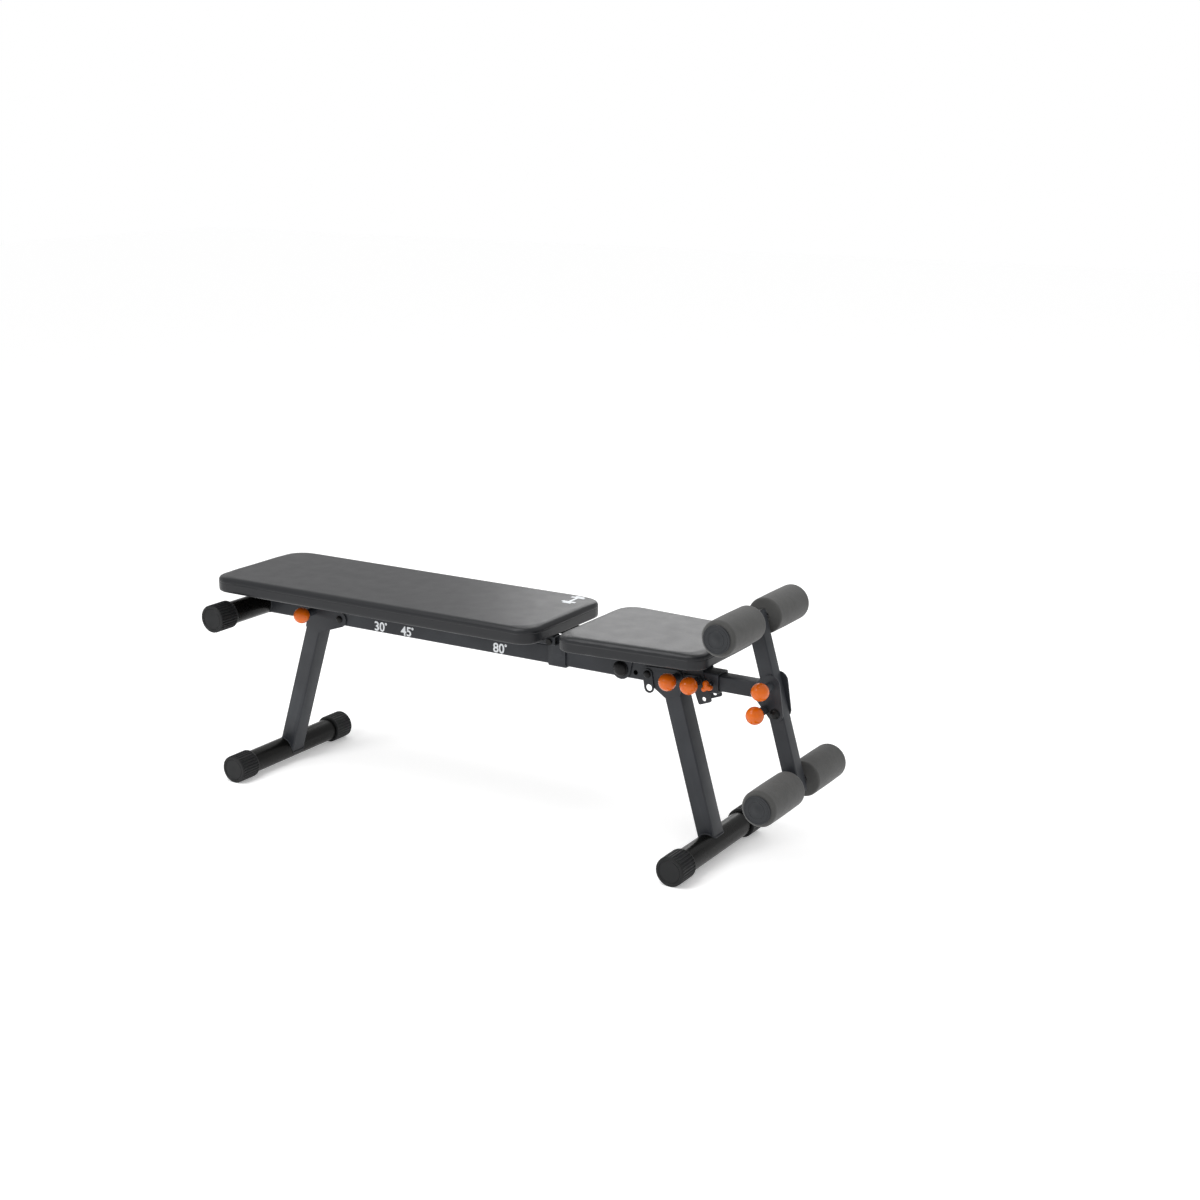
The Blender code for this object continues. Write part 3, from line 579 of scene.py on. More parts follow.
class Workshop:
    """Turns meshes into pieces that ride on a body and wear a finish.

    FLAT is the angle under which two CAD facets count as one face, and EDGE the angle over which
    two faces meet in an edge that gets eased.
    """

    FLAT = math.radians(0.5)
    EDGE = math.radians(40)

    def __init__(self, frame: dict, palette: Palette) -> None:
        """Keeps the frame's nodes and the palette."""
        self.nodes: dict[str, bpy.types.Object] = frame["nodes"]
        self.palette = palette
        self.count = 0

    def piece(self, name: str, mesh: bpy.types.Mesh, finish: Finish, body: str,
              replaces: Sequence[str] = (), degrees: float = 35.0) -> bpy.types.Object:
        """Adds a finished piece.

        Args:
            name: Name of the object.
            mesh: Its mesh, in place.
            finish: What it is made of.
            body: CAD body that it rides on.
            replaces: CAD nodes that it stands for.
            degrees: Edges sharper than this stay sharp.

        Returns:
            The object, at the origin.
        """
        piece = bpy.data.objects.new(name, mesh)
        bpy.context.scene.collection.objects.link(piece)
        mesh.materials.clear()
        mesh.materials.append(self.palette.material(finish))
        smooth(mesh, degrees)
        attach(piece, body)
        if replaces:
            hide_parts(*replaces)
        self.count += 1
        LOG.info("piece %s on %s, %d faces", name, body, len(mesh.polygons))
        return piece

    def eased(self, node: str, finish: Finish, radius: float) -> bpy.types.Object:
        """Stands a copy of a CAD node in for it, with its facets merged and its edges eased.

        Args:
            node: CAD node to copy.
            finish: What it is made of.
            radius: Width of the eased edge.

        Returns:
            The new piece.
        """
        bm = bmesh.new()
        bm.from_mesh(self.nodes[node].data)
        bmesh.ops.remove_doubles(bm, verts=bm.verts, dist=1e-6)
        bmesh.ops.dissolve_limit(bm, angle_limit=self.FLAT, verts=bm.verts, edges=bm.edges)
        mesh = bpy.data.meshes.new(node + "_eased")
        bm.to_mesh(mesh)
        bm.free()
        piece = self.piece(node + "_eased", mesh, finish, self.body_of(node), (node,), 50.0)
        bevel = piece.modifiers.new("eased edges", "BEVEL")
        bevel.width = radius
        bevel.segments = 2
        bevel.limit_method = "ANGLE"
        bevel.angle_limit = self.EDGE
        return piece

    def lathe(self, node: str, ending: str, profile: np.ndarray, finish: Finish, sides: int,
              centre: Optional[Vector] = None) -> bpy.types.Object:
        """Stands a turned piece in for a CAD node.

        Args:
            node: CAD node that it replaces.
            ending: What the piece's name adds to the node's.
            profile: Array (rows, 2) of radius and distance along Y.
            finish: What it is made of.
            sides: Number of points round the axis.
            centre: Point that the profile is measured from, if not the middle of the node's box.

        Returns:
            The new piece.
        """
        grid = turned(box_middle(node) if centre is None else centre, profile, sides)
        mesh = tube_mesh(node + ending, grid)
        return self.piece(node + ending, mesh, finish, self.body_of(node), (node,))

    def body_of(self, node: str) -> str:
        """The body that a CAD node belongs to."""
        return self.nodes[node]["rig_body"]

    def dress(self, node: str, finish: Finish) -> None:
        """Gives a CAD node that is kept as it is a finish."""
        mesh = self.nodes[node].data
        mesh.materials.clear()
        mesh.materials.append(self.palette.material(finish))


# ---- steelwork ----


@dataclass
class Steelwork:
    """Tubes, plates and brackets: the CAD shapes with eased edges and powder coat.

    Attributes:
        eased_nodes: CAD nodes of coated steel.
        thin_nodes: Those that are thin plates, with a finer edge.
        hex_bolts: CAD nodes of the enamelled hexagon bolts.
        tube_edge: Width of the eased edge on tubes and brackets.
        thin_edge: The same on thin plates.
        bolt_edge: The same on bolts.
    """

    eased_nodes: tuple[str, ...] = (
        "rear_rail", "front_beam", "rail_collar", "notch_rack", "tether_eye", "post_keeper", "rear_leg",
        "front_leg", "backrest_frame", "prop", "seat_bracket", "seat_post_left", "seat_post_right",
        "extension_tube", "extension_cheek_left", "extension_cheek_right", "leg_hold_arm")
    thin_nodes: tuple[str, ...] = ("notch_rack", "tether_eye")
    hex_bolts: tuple[str, ...] = ("backrest_hinge_bolt", "prop_pivot_bolt", "seat_post_bolt")
    tube_edge: float = 0.0007
    thin_edge: float = 0.0004
    bolt_edge: float = 0.0005

    def build(self, shop: Workshop) -> None:
        """Makes every coated steel piece."""
        for node in self.eased_nodes:
            edge = self.thin_edge if node in self.thin_nodes else self.tube_edge
            shop.eased(node, Palette.FRAME, edge)
        for node in self.hex_bolts:
            shop.eased(node, Palette.BOLT, self.bolt_edge)
        shop.dress("beam_sleeve", Palette.PLASTIC)


@dataclass
class WeldBead:
    """A bead of weld where a square tube meets a round cross tube.

    Attributes:
        name: Name of the piece.
        body: CAD body that it rides on.
        tube: Node of the round tube.
        low: (x, z) of a point on the square tube's centre line, near the round tube.
        direction: (x, z) direction of the square tube, away from the round tube.
        width: Square tube's width in the XZ plane.
        depth: Square tube's width along Y.
        bead: Radius of the bead.
        sunk: How far the bead's centre line is under the round tube's surface.
        steps: Number of points along the bead.
        sides: Number of points round it.
        ripple: The ripple's share of the bead's radius.
        ripple_steps: Points from one ripple to the next.
    """

    name: str
    body: str
    tube: str
    low: tuple[float, float]
    direction: tuple[float, float]
    width: float
    depth: float
    bead: float = 0.0021
    sunk: float = 0.0004
    steps: int = 180
    sides: int = 12
    ripple: float = 0.10
    ripple_steps: int = 5

    def build(self, shop: Workshop) -> None:
        """Runs the bead along the curve where the two tubes meet.

        The square tube's outline (u, v) is moved along its direction d until it is on the cylinder of
        radius R: the root t of |p + d t - c|^2 = R^2. The bead's ring at each point is
        b (cos f * outward + sin f * d), with a ripple every couple of millimetres.
        """
        tube = Barrel.of(self.tube)
        centre = np.array([tube.centre.x, tube.centre.z])
        radius = tube.radius - self.sunk
        d = np.array(self.direction) / np.linalg.norm(self.direction)
        side = np.array([d[1], -d[0]])
        u, v, nu, nv = self.outline()
        base = np.array(self.low) + u[:, None] * side
        offset = base - centre
        along = offset @ d
        t = -along + np.sqrt(np.maximum(radius ** 2 - (offset ** 2).sum(1) + along ** 2, 0.0))
        path = base + t[:, None] * d
        points = np.stack([path[:, 0], v, path[:, 1]], -1)
        outward = np.stack([nu * side[0], nv, nu * side[1]], -1)
        ahead = np.array([d[0], 0.0, d[1]])
        f = angles(self.sides)[None, :, None]
        phase = np.arange(self.steps) * 2 * math.pi / self.ripple_steps
        size = self.bead * (1 + self.ripple * np.sin(phase))
        ring = np.cos(f) * outward[:, None, :] + np.sin(f) * ahead
        grid = points[:, None, :] + size[:, None, None] * ring
        shop.piece(self.name, tube_mesh(self.name, grid, closed=True), Palette.FRAME, self.body)

    def outline(self) -> tuple[np.ndarray, np.ndarray, np.ndarray, np.ndarray]:
        """The square tube's outline u, v, and the two parts of its outward normals."""
        x, y = rounded_square(self.steps)
        nx, ny = np.sign(x) * np.abs(x) ** 7, np.sign(y) * np.abs(y) ** 7
        norm = np.hypot(nx, ny)
        return x * self.width / 2, y * self.depth / 2, nx / norm, ny / norm


@dataclass
class CrossTube:
    """A round cross tube and its two ribbed end caps.

    Attributes:
        name: Common start of the node names.
        floor_sole: Whether the caps are flat where they stand on the floor.
        ribs: Number of ribs round a cap.
        rib_depth: Depth of the grooves between them.
        rib_squareness: 1 for ribs like a plain cosine; more widens their tops and the grooves.
        sides_per_rib: Number of points round the cap for each rib.
        edge: Chamfer of the tube's ends, and width of the cap's inner lip.
        hub: Radius of the smallest ring at the middle of the cap's face.
        face: The cap's face from the middle outwards, as shares of its radius and depths.
        rim: Share of the radius where the rounded rim starts, and its length along Y.
        skirt_ends: Where the ribbed skirt starts, from the face, and ends, from the far edge.
        bore_floor: Depth of the closed end of the cap's bore.
    """

    name: str
    floor_sole: bool
    ribs: int = 30
    rib_depth: float = 0.0017
    rib_squareness: float = 1.6
    sides_per_rib: int = 8
    edge: float = 0.002
    hub: float = 0.0005
    face: Rows = ((0.70, 0.0006), (0.73, 0.0013), (0.77, 0.0013), (0.80, 0.0002))
    rim: tuple[float, float] = (0.90, 0.0035)
    skirt_ends: tuple[float, float] = (0.0045, 0.004)
    bore_floor: float = 0.006

    def build(self, shop: Workshop) -> None:
        """Makes the enamelled tube and both caps."""
        node = self.name + "_tube"
        tube = Barrel.of(node)
        inner, outer, half = tube.radius - self.edge, tube.radius, tube.half
        profile = np.array([(inner, -half), (outer, -half), (outer, half), (inner, half)])
        shop.lathe(node, "_skin", profile, Palette.FOOT, 128)
        for side in Side:
            self.cap(shop, side, tube.radius)

    def cap(self, shop: Workshop, side: Side, tube_radius: float) -> None:
        """A cap: flat end with a recessed ring, a rounded rim and a skirt with lengthwise ribs.

        The ribs add depth * (g - 1) / 2 to the radius, where g is cos(ribs * a) widened and clipped
        to -1 to 1, and fade out at both ends of the skirt. A sole is flattened by lifting every
        point that is under the floor to the floor.

        Args:
            shop: Workshop that the cap is made in.
            side: Side of the bench.
            tube_radius: Radius of the tube in the cap.
        """
        node = "%s_cap_%s" % (self.name, side.name.lower())
        low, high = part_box(node)
        radius, length = (high.x - low.x) / 2, high.y - low.y
        outer_end = high.y if side is Side.LEFT else low.y
        centre = Vector(((low.x + high.x) / 2, outer_end, high.z - radius))
        face = [(self.hub, self.face[0][1])] + [(radius * share, depth) for share, depth in self.face]
        rim = fillet((radius * self.rim[0], 0.0), (radius, 0.0), (radius, self.rim[1]))
        skirt = np.linspace(self.skirt_ends[0], length - self.skirt_ends[1], 9)
        skirt = np.stack([np.full(len(skirt), radius), skirt], -1)
        lip = fillet((radius, length - 0.003), (radius, length), (radius - self.edge, length), 4)
        bore = tube_radius + CLEARANCE
        profile = np.concatenate([face, rim, skirt, lip, [(bore, length), (bore, self.bore_floor)]])
        profile[:, 1] *= -side.value
        angle = angles(self.ribs * self.sides_per_rib)
        fade = np.zeros(len(profile))
        first = len(face) + len(rim)
        fade[first:first + len(skirt)] = 1.0
        fade[first - 2:first] = 0.8
        groove = np.clip(np.cos(self.ribs * angle) * self.rib_squareness, -1, 1)
        wave = fade[:, None] * self.rib_depth * (groove[None, :] - 1) / 2
        grid = turned(centre, profile, len(angle), wave)
        if self.floor_sole:
            grid[..., 2] = np.maximum(grid[..., 2], 0.0)
        name = node + "_ribbed"
        shop.piece(name, tube_mesh(name, grid), Palette.PLASTIC, shop.body_of(node), (node,), 30.0)


@dataclass
class PivotBolt:
    """A pivot bolt with domed black covers on both ends.

    Attributes:
        node: CAD node that it stands for.
        dome: Height of each dome.
        shank: Radius of the bolt between the domes.
        crown: Shares of the radius and of the dome's height where the cap of the dome starts.
        flange: The flange under it, as shares of the radius and of the dome's height.
    """

    node: str
    dome: float
    shank: float = 0.005
    crown: tuple[float, float] = (0.90, 0.35)
    flange: Rows = ((0.93, 0.32), (1.0, 0.24), (1.0, 0.0))

    def build(self, shop: Workshop) -> None:
        """Turns shank and domes as one profile; each dome is a flange, a groove and a low cap."""
        bolt = Barrel.of(self.node)
        foot = bolt.half - self.dome
        width, start = self.crown
        angle = np.linspace(0, math.pi / 2, 12)
        crown = np.stack([bolt.radius * width * np.sin(angle) + 0.0002,
                          foot + self.dome * (start + (1 - start) * np.cos(angle))], -1)
        flange = [(bolt.radius * share, foot + self.dome * height) for share, height in self.flange]
        upper = np.concatenate([crown, flange, [(self.shank, foot), (self.shank, foot - 0.001)]])
        lower = upper[::-1] * np.array([1.0, -1.0])
        shop.lathe(self.node, "_domed", np.concatenate([upper, lower]), Palette.BOLT, 64)


# ---- pins and knobs ----


@dataclass
class PullPin:
    """A zinc-plated lock pin with its glossy ball.

    Attributes:
        name: CAD body and node of the pin; the ball is the same name with _knob.
        chamfer: Length and height of the rounding of the pin's tip.
        proud: How far the ball is outside the CAD ball.
        mouth: Width of the flat ring round the hole in the ball.
        hole_depth: How deep the hole goes, measured from the ball's middle.
        flash: Height and angular width of the parting line.
        flat: Depth and angular width of the flattened front.
    """

    name: str
    chamfer: tuple[float, float] = (0.0012, 0.0014)
    proud: float = 0.00005
    mouth: float = 0.0030
    hole_depth: float = -0.005
    flash: tuple[float, float] = (0.00012, 0.022)
    flat: tuple[float, float] = (0.0005, 0.16)

    def build(self, shop: Workshop) -> None:
        """Turns the pin, with a chamfered tip, and the ball, with its parting line."""
        pin = Barrel.of(self.name)
        length, height = self.chamfer
        tip = fillet((pin.radius, pin.half - length), (pin.radius, pin.half),
                     (pin.radius - height, pin.half), 5)
        profile = np.concatenate([[(pin.radius, -pin.half)], tip, [(0.0004, pin.half)]])
        shop.lathe(self.name, "_turned", profile, Palette.ZINC, 48)
        self.ball(shop, pin.radius)

    def ball(self, shop: Workshop, pin_radius: float) -> None:
        """A sphere r = R sin t, w = -R cos t, with a hair's breadth of flash at its widest ring."""
        node = self.name + "_knob"
        low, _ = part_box(node)
        knob = Barrel.of(node)
        radius = knob.radius + self.proud
        centre = Vector((knob.centre.x, low.y + radius, knob.centre.z))
        mouth = math.asin((pin_radius + self.mouth) / radius)
        t = np.linspace(0.02, math.pi - mouth, 56)
        flash = self.flash[0] * np.exp(-((t - math.pi / 2) / self.flash[1]) ** 2)
        flat = self.flat[0] * np.exp(-(t / self.flat[1]) ** 2)
        sphere = np.stack([(radius + flash) * np.sin(t), -(radius + flash) * np.cos(t) + flat], -1)
        hole = pin_radius + CLEARANCE
        profile = np.concatenate([sphere, [(hole, sphere[-1, 1]), (hole, self.hole_depth)]])
        shop.lathe(node, "_ball", profile, Palette.KNOB, 72, centre)


@dataclass
class WingKnob:
    """The three-lobed clamp knob and its screw.

    Attributes:
        radius: Mean radius of the knob.
        lobe: How far each lobe stands out from it.
        lobes: Number of lobes.
        turn: Angle that the lobes are turned by.
    """

    radius: float = 0.0095
    lobe: float = 0.0030
    lobes: int = 3
    turn: float = 0.6

    def build(self, shop: Workshop) -> None:
        """Lobed radius R + A cos(3a + p), drawn in towards both faces along a superellipse."""
        knob = Barrel.of("wing_knob")
        screw = box_middle("wing_screw")
        a = angles(120)
        radius = self.radius + self.lobe * np.cos(self.lobes * a + self.turn)
        t = np.linspace(-0.985, 0.985, 25)
        r = radius[None, :] * ((1 - t ** 4) ** 0.25)[:, None]
        along = np.repeat((knob.centre.y + knob.half * t)[:, None], len(a), 1)
        grid = np.stack([screw.x + r * np.cos(a), along, screw.z + r * np.sin(a)], -1)
        mesh = tube_mesh("wing_knob_lobes", grid)
        shop.piece("wing_knob_lobes", mesh, Palette.KNOB, "wing_knob", ("wing_knob",))
        shop.eased("wing_screw", Palette.ZINC, 0.0003)


# ---- leg hold ----


@dataclass
class FoamRoller:
    """A foam roller on its bar.

    Attributes:
        level: upper or lower.
        side: Side of the bench.
        rounding: Length of the rounded outer edge.
        inner_edge: Length and height of the inner edge's rounding.
        belly: How far the middle of the foam swells out.
        bore: Radius of the bore for the bar.
        mouths: Radii of the bore's mouth, a little inside and at each end face.
    """

    level: str
    side: Side
    rounding: float = 0.011
    inner_edge: tuple[float, float] = (0.006, 0.005)
    belly: float = 0.0005
    bore: float = 0.0084
    mouths: tuple[float, float] = (0.0088, 0.0094)

    def build(self, shop: Workshop) -> None:
        """Turns the foam: rounded outer edge, soft inner edge and a belly of half a millimetre."""
        node = "%s_roller_%s" % (self.level, self.side.name.lower())
        roll = Barrel.of(node)
        radius, half = roll.radius, roll.half
        length, height = self.inner_edge
        outer = fillet((radius - self.rounding, half), (radius + 0.0004, half),
                       (radius, half - self.rounding), 12)
        inner = fillet((radius, -half + length), (radius, -half), (radius - height, -half), 8)
        w = np.linspace(half - self.rounding - 0.002, -half + length + 0.002, 24)
        belly = np.stack([radius + self.belly * np.cos(w / half * math.pi / 2) - 0.0002, w], -1)
        near, wide = self.mouths
        profile = np.concatenate([[(near, half - 0.0015), (wide, half)], outer, belly, inner,
                                  [(wide, -half), (near, -half + 0.0015)]])
        profile[:, 1] *= self.side.value
        profile = np.concatenate([profile, [(self.bore, profile[-1, 1]), (self.bore, profile[0, 1])]])
        mesh = tube_mesh(node + "_foam", turned(roll.centre, profile), closed=True)
        foam = shop.piece(node + "_foam", mesh, Palette.FOAM, node, (node,), 60.0)
        EndDisc(self.level, self.side).build(shop)


@dataclass
class EndDisc:
    """The moulded disc over a roller's outer end.

    Attributes:
        level: upper or lower.
        side: Side of the bench.
        relief: How far the hub stands out, and how deep the two grooves are.
        hub: Radii of the hub's top and of its foot.
        rings: The grooved face, as shares of the radius and of the grooves' depth.
        edge: Share of the radius where the rounded edge starts, and its length along Y.
        bore: Radius of the hole for the bar.
    """

    level: str
    side: Side
    relief: float = 0.0005
    hub: tuple[float, float] = (0.0060, 0.0070)
    rings: Rows = ((0.55, 0.0), (0.57, 1.0), (0.61, 1.0), (0.63, 0.0),
                   (0.84, 0.0), (0.86, 1.0), (0.89, 0.0))
    edge: tuple[float, float] = (0.95, 0.0012)
    bore: float = 0.0084

    def build(self, shop: Workshop) -> None:
        """Turns the disc: rounded edge, two grooves and a raised hub."""
        node = "%s_end_cap_%s" % (self.level, self.side.name.lower())
        disc = Barrel.of(node)
        radius, half = disc.radius, disc.half
        face = half - self.relief
        hub = [(0.0004, half), (self.hub[0], half), (self.hub[1], face)]
        rings = [(radius * share, face - self.relief * depth) for share, depth in self.rings]
        edge = fillet((radius * self.edge[0], face), (radius, face), (radius, face - self.edge[1]), 5)
        profile = np.concatenate([hub, rings, edge, [(radius, -half), (self.bore, -half)]])
        profile[:, 1] *= self.side.value
        shop.lathe(node, "_disc", profile, Palette.DISC, 72)


@dataclass
class LegHold:
    """Rollers, bars, and the plastic plugs that close the arm.

    Attributes:
        plug: Height of a plug's head.
        bar_chamfer: Chamfer of the bars' ends.
        bar_short: How far each bar's end stays under the disc's hub.
        reach: Distance from a bar's axis to the arm's end.
        plug_rows: Half widths of the plug's rings and their places along it, up to its head.
        head_rows: The same over the head, with the places as shares of its height.
        slimness: Width of a plug along Y, as a share of its other width.
    """

    plug: float = 0.0016
    bar_chamfer: float = 0.0008
    bar_short: float = 0.0028
    reach: float = 0.016
    plug_rows: Rows = ((0.0128, -0.010), (0.0130, -0.0004), (0.0130, 0.0002), (0.0152, 0.0002))
    head_rows: Rows = ((0.0150, 0.7), (0.0135, 1.0), (0.0004, 1.0))
    slimness: float = 0.985

    def build(self, shop: Workshop) -> None:
        """Makes the four rollers, both bars and both plugs."""
        for level in ("upper", "lower"):
            for side in Side:
                FoamRoller(level, side).build(shop)
            node = level + "_roller_bar"
            bar = Barrel.of(node)
            half = bar.half - self.bar_short
            inner, shoulder = bar.radius - self.bar_chamfer, half - self.bar_chamfer
            profile = np.array([(inner, -half), (bar.radius, -shoulder), (bar.radius, shoulder),
                                (inner, half)])
            shop.lathe(node, "_turned", profile, Palette.ZINC, 48)
        low, high = box_middle("lower_roller_bar"), box_middle("upper_roller_bar")
        self.end_plug(shop, "upper_arm_plug", high, (high - low).normalized())
        self.end_plug(shop, "lower_arm_plug", low, (low - high).normalized())

    def end_plug(self, shop: Workshop, name: str, bar: Vector, outward: Vector) -> None:
        """A plug in an end of the arm: rounded squares stacked along the arm's own line.

        Args:
            shop: Workshop that the plug is made in.
            name: Name of the piece.
            bar: Middle of the roller bar next to it.
            outward: Direction along the arm, out of its end.
        """
        side = np.array((abs(outward.z), 0.0, -outward.x * math.copysign(1.0, outward.z)))
        across = np.array((0.0, self.slimness, 0.0))
        x, y = rounded_square(48)
        rows = self.plug_rows + tuple((r, self.plug * share) for r, share in self.head_rows)
        grid = np.stack([
            np.array(bar) + np.array(outward) * (self.reach + w)
            + (r * x)[:, None] * side + (r * y)[:, None] * across
            for r, w in rows])
        shop.piece(name, tube_mesh(name, grid), Palette.PLASTIC, "leg_hold")


# ---- upholstery ----


@dataclass
class Pad:
    """An upholstered pad: a stuffed vinyl cushion over a plywood board.

    Attributes:
        name: seat or backrest.
        finish: The pad's vinyl.
        voxel: Cell of the remesh before the cloth is run.
        swell: Farthest that the vinyl may be pushed out.
        shrink: How much smaller the cushion starts.
        edge: Radius of the top edge.
        hem: Radius of the bottom edge.
        panel_inset: How far the board's panel is set in from the hem.
        gap: Height of the cushion's bottom over the board's.
        grip: Height of the band over the bottom that the cloth can't move.
        frames: Frames that the cloth is run for.
        proud: How far the pad may stand out from the CAD pad.
    """

    name: str
    finish: EmbossedVinyl
    voxel: float = 0.004
    swell: float = 0.0030
    shrink: float = 0.0010
    edge: float = 0.007
    hem: float = 0.0014
    panel_inset: float = 0.020
    gap: float = 0.0004
    grip: float = 0.006
    frames: int = 20
    proud: float = 0.0015

    def build(self, shop: Workshop) -> bpy.types.Object:
        """Makes the cushion, the board's panel under it and the staples."""
        cushion = self.name + "_cushion"
        cushion_low, cushion_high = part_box(cushion)
        board_low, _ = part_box(self.name + "_board")
        bottom = board_low.z + self.gap
        mesh = self.blank(self.outline(shop, cushion, 240), bottom, cushion_high.z)
        pad = shop.piece(self.name + "_pad", mesh, self.finish, self.name, (cushion,), 80.0)
        self.stuff(pad)
        self.trim(pad, bottom, cushion_low, cushion_high)
        fine = pad.modifiers.new("smooth skin", "SUBSURF")
        fine.levels = fine.render_levels = 1
        self.underside(shop, board_low.z, bottom)
        return pad

    def outline(self, shop: Workshop, node: str, count: int) -> np.ndarray:
        """Reads a CAD pad's convex outline from above and spaces it evenly.

        Args:
            shop: Workshop that holds the CAD nodes.
            node: CAD node of the cushion or the board.
            count: Number of points.

        Returns:
            Array (count, 2), counter-clockwise.
        """
        points = np.array([v.co[:2] for v in shop.nodes[node].data.vertices])
        middle = points.mean(0)
        angle = np.arctan2(*(points - middle).T[::-1])
        order = np.argsort(angle)
        points, angle = points[order], angle[order]
        keep = np.concatenate([[True], np.linalg.norm(np.diff(points, axis=0), axis=1) > 1e-5])
        loop = np.vstack([points[keep], points[keep][:1]])
        steps = np.concatenate([[0], np.cumsum(np.linalg.norm(np.diff(loop, axis=0), axis=1))])
        at = np.linspace(0, steps[-1], count, endpoint=False)
        return np.stack([np.interp(at, steps, loop[:, k]) for k in range(2)], -1)

    def inset(self, outline: np.ndarray, distance: float) -> np.ndarray:
        """Moves each point of a counter-clockwise outline inwards along its normal."""
        tangent = np.roll(outline, -1, 0) - np.roll(outline, 1, 0)
        tangent /= np.linalg.norm(tangent, axis=1)[:, None]
        return outline + distance * np.stack([-tangent[:, 1], tangent[:, 0]], -1)

    def blank(self, outline: np.ndarray, bottom: float, top: float) -> bpy.types.Mesh:
        """The closed form that the cloth starts from.

        A profile is carried round the outline. Row (d, z) is the outline moved in by d at height z:
        a flat bottom, a small turn at the board's edge, an upright side and a round top edge.
        """
        turn = np.linspace(0, math.pi / 2, 8)
        start = self.shrink
        crown = top - self.shrink
        upper = [(start + self.edge * (1 - math.cos(t)), crown - self.edge * (1 - math.sin(t)))
                 for t in turn]
        lower = [(start + self.hem * (1 - math.sin(t)), bottom + self.hem * (1 - math.cos(t)))
                 for t in turn]
        rows = [(0.030, bottom)] + lower + upper + [(0.030, crown + 0.0004), (0.045, crown + 0.0008)]
        grid = np.stack([np.column_stack([self.inset(outline, d), np.full(len(outline), z)])
                         for d, z in rows])
        return tube_mesh(self.name + "_pad", grid)

    def stuff(self, pad: bpy.types.Object) -> None:
        """Remeshes the blank, holds its hem, blows it up as cloth, and evens out and caps the swell.

        Each point keeps only its movement along its own normal n, which is averaged over its
        neighbours: s = mean(moved . n). The point then goes out by swell * tanh(s / swell).
        """
        bpy.context.view_layer.objects.active = pad
        remesh = pad.modifiers.new("remesh", "REMESH")
        remesh.mode = "VOXEL"
        remesh.voxel_size = self.voxel
        with bpy.context.temp_override(object=pad, active_object=pad):
            bpy.ops.object.modifier_apply(modifier=remesh.name)
        before = points_of(pad.data)
        normals = np.empty(before.size)
        pad.data.vertex_normals.foreach_get("vector", normals)
        normals = normals.reshape(-1, 3)
        hem = pad.vertex_groups.new(name="hem")
        held = np.flatnonzero(before[:, 2] < before[:, 2].min() + self.grip)
        hem.add(held.tolist(), 1.0, "REPLACE")
        cloth = pad.modifiers.new("cloth", "CLOTH")
        vinyl = cloth.settings
        vinyl.quality = 5
        vinyl.mass = 0.3
        vinyl.tension_stiffness = vinyl.compression_stiffness = 25
        vinyl.bending_stiffness = 8
        vinyl.vertex_group_mass = hem.name
        vinyl.use_pressure = True
        vinyl.uniform_pressure_force = 4.0
        vinyl.effector_weights.gravity = 0.0
        cloth.collision_settings.use_collision = False
        cloth.point_cache.frame_start, cloth.point_cache.frame_end = 1, self.frames
        for frame in range(1, self.frames + 1):
            bpy.context.scene.frame_set(frame)
        with bpy.context.temp_override(object=pad, active_object=pad):
            bpy.ops.object.modifier_apply(modifier=cloth.name)
        bpy.context.scene.frame_set(1)
        push = ((points_of(pad.data) - before) * normals).sum(1)
        push = self.evened(pad.data, np.maximum(push, 0.0))
        LOG.info("%s swells by up to %.1f mm before its cap", self.name, 1000 * push.max())
        out = self.swell * np.tanh(push / self.swell)
        set_points(pad.data, before + normals * out[:, None])

    def evened(self, mesh: bpy.types.Mesh, values: np.ndarray, rounds: int = 25) -> np.ndarray:
        """Averages one value per point with its neighbours' values, several times over."""
        edges = np.empty(len(mesh.edges) * 2, dtype=np.int32)
        mesh.edges.foreach_get("vertices", edges)
        a, b = edges.reshape(-1, 2).T
        near = np.bincount(a, minlength=len(values)) + np.bincount(b, minlength=len(values))
        for _ in range(rounds):
            total = np.bincount(a, values[b], len(values)) + np.bincount(b, values[a], len(values))
            values = 0.4 * values + 0.6 * total / np.maximum(near, 1)
        return values

    def trim(self, pad: bpy.types.Object, bottom: float, low: Vector, high: Vector) -> None:
        """Keeps the pad in its place: flat at the bottom, and little proud of the CAD pad's box."""
        reach = Vector((self.proud, self.proud, self.proud))
        lowest, highest = low - reach, high + reach
        lowest.z = bottom
        set_points(pad.data, np.clip(points_of(pad.data), np.array(lowest), np.array(highest)))

    def underside(self, shop: Workshop, board_z: float, bottom: float) -> None:
        """The board's panel, set in from the vinyl's hem, and a row of staples through the hem."""
        outline = self.outline(shop, self.name + "_board", 160)
        panel = self.inset(outline, self.panel_inset)
        rows = [(0.0, bottom + 0.0001), (0.0002, board_z + 0.0002), (0.0005, board_z), (0.0020, board_z)]
        grid = np.stack([np.column_stack([self.inset(panel, d), np.full(len(panel), z)])
                         for d, z in rows])
        name = self.name + "_board_panel"
        shop.piece(name, tube_mesh(name, grid), Palette.PLY, self.name, (self.name + "_board",))
        self.staples(shop, self.inset(outline, self.panel_inset * 0.5), bottom)

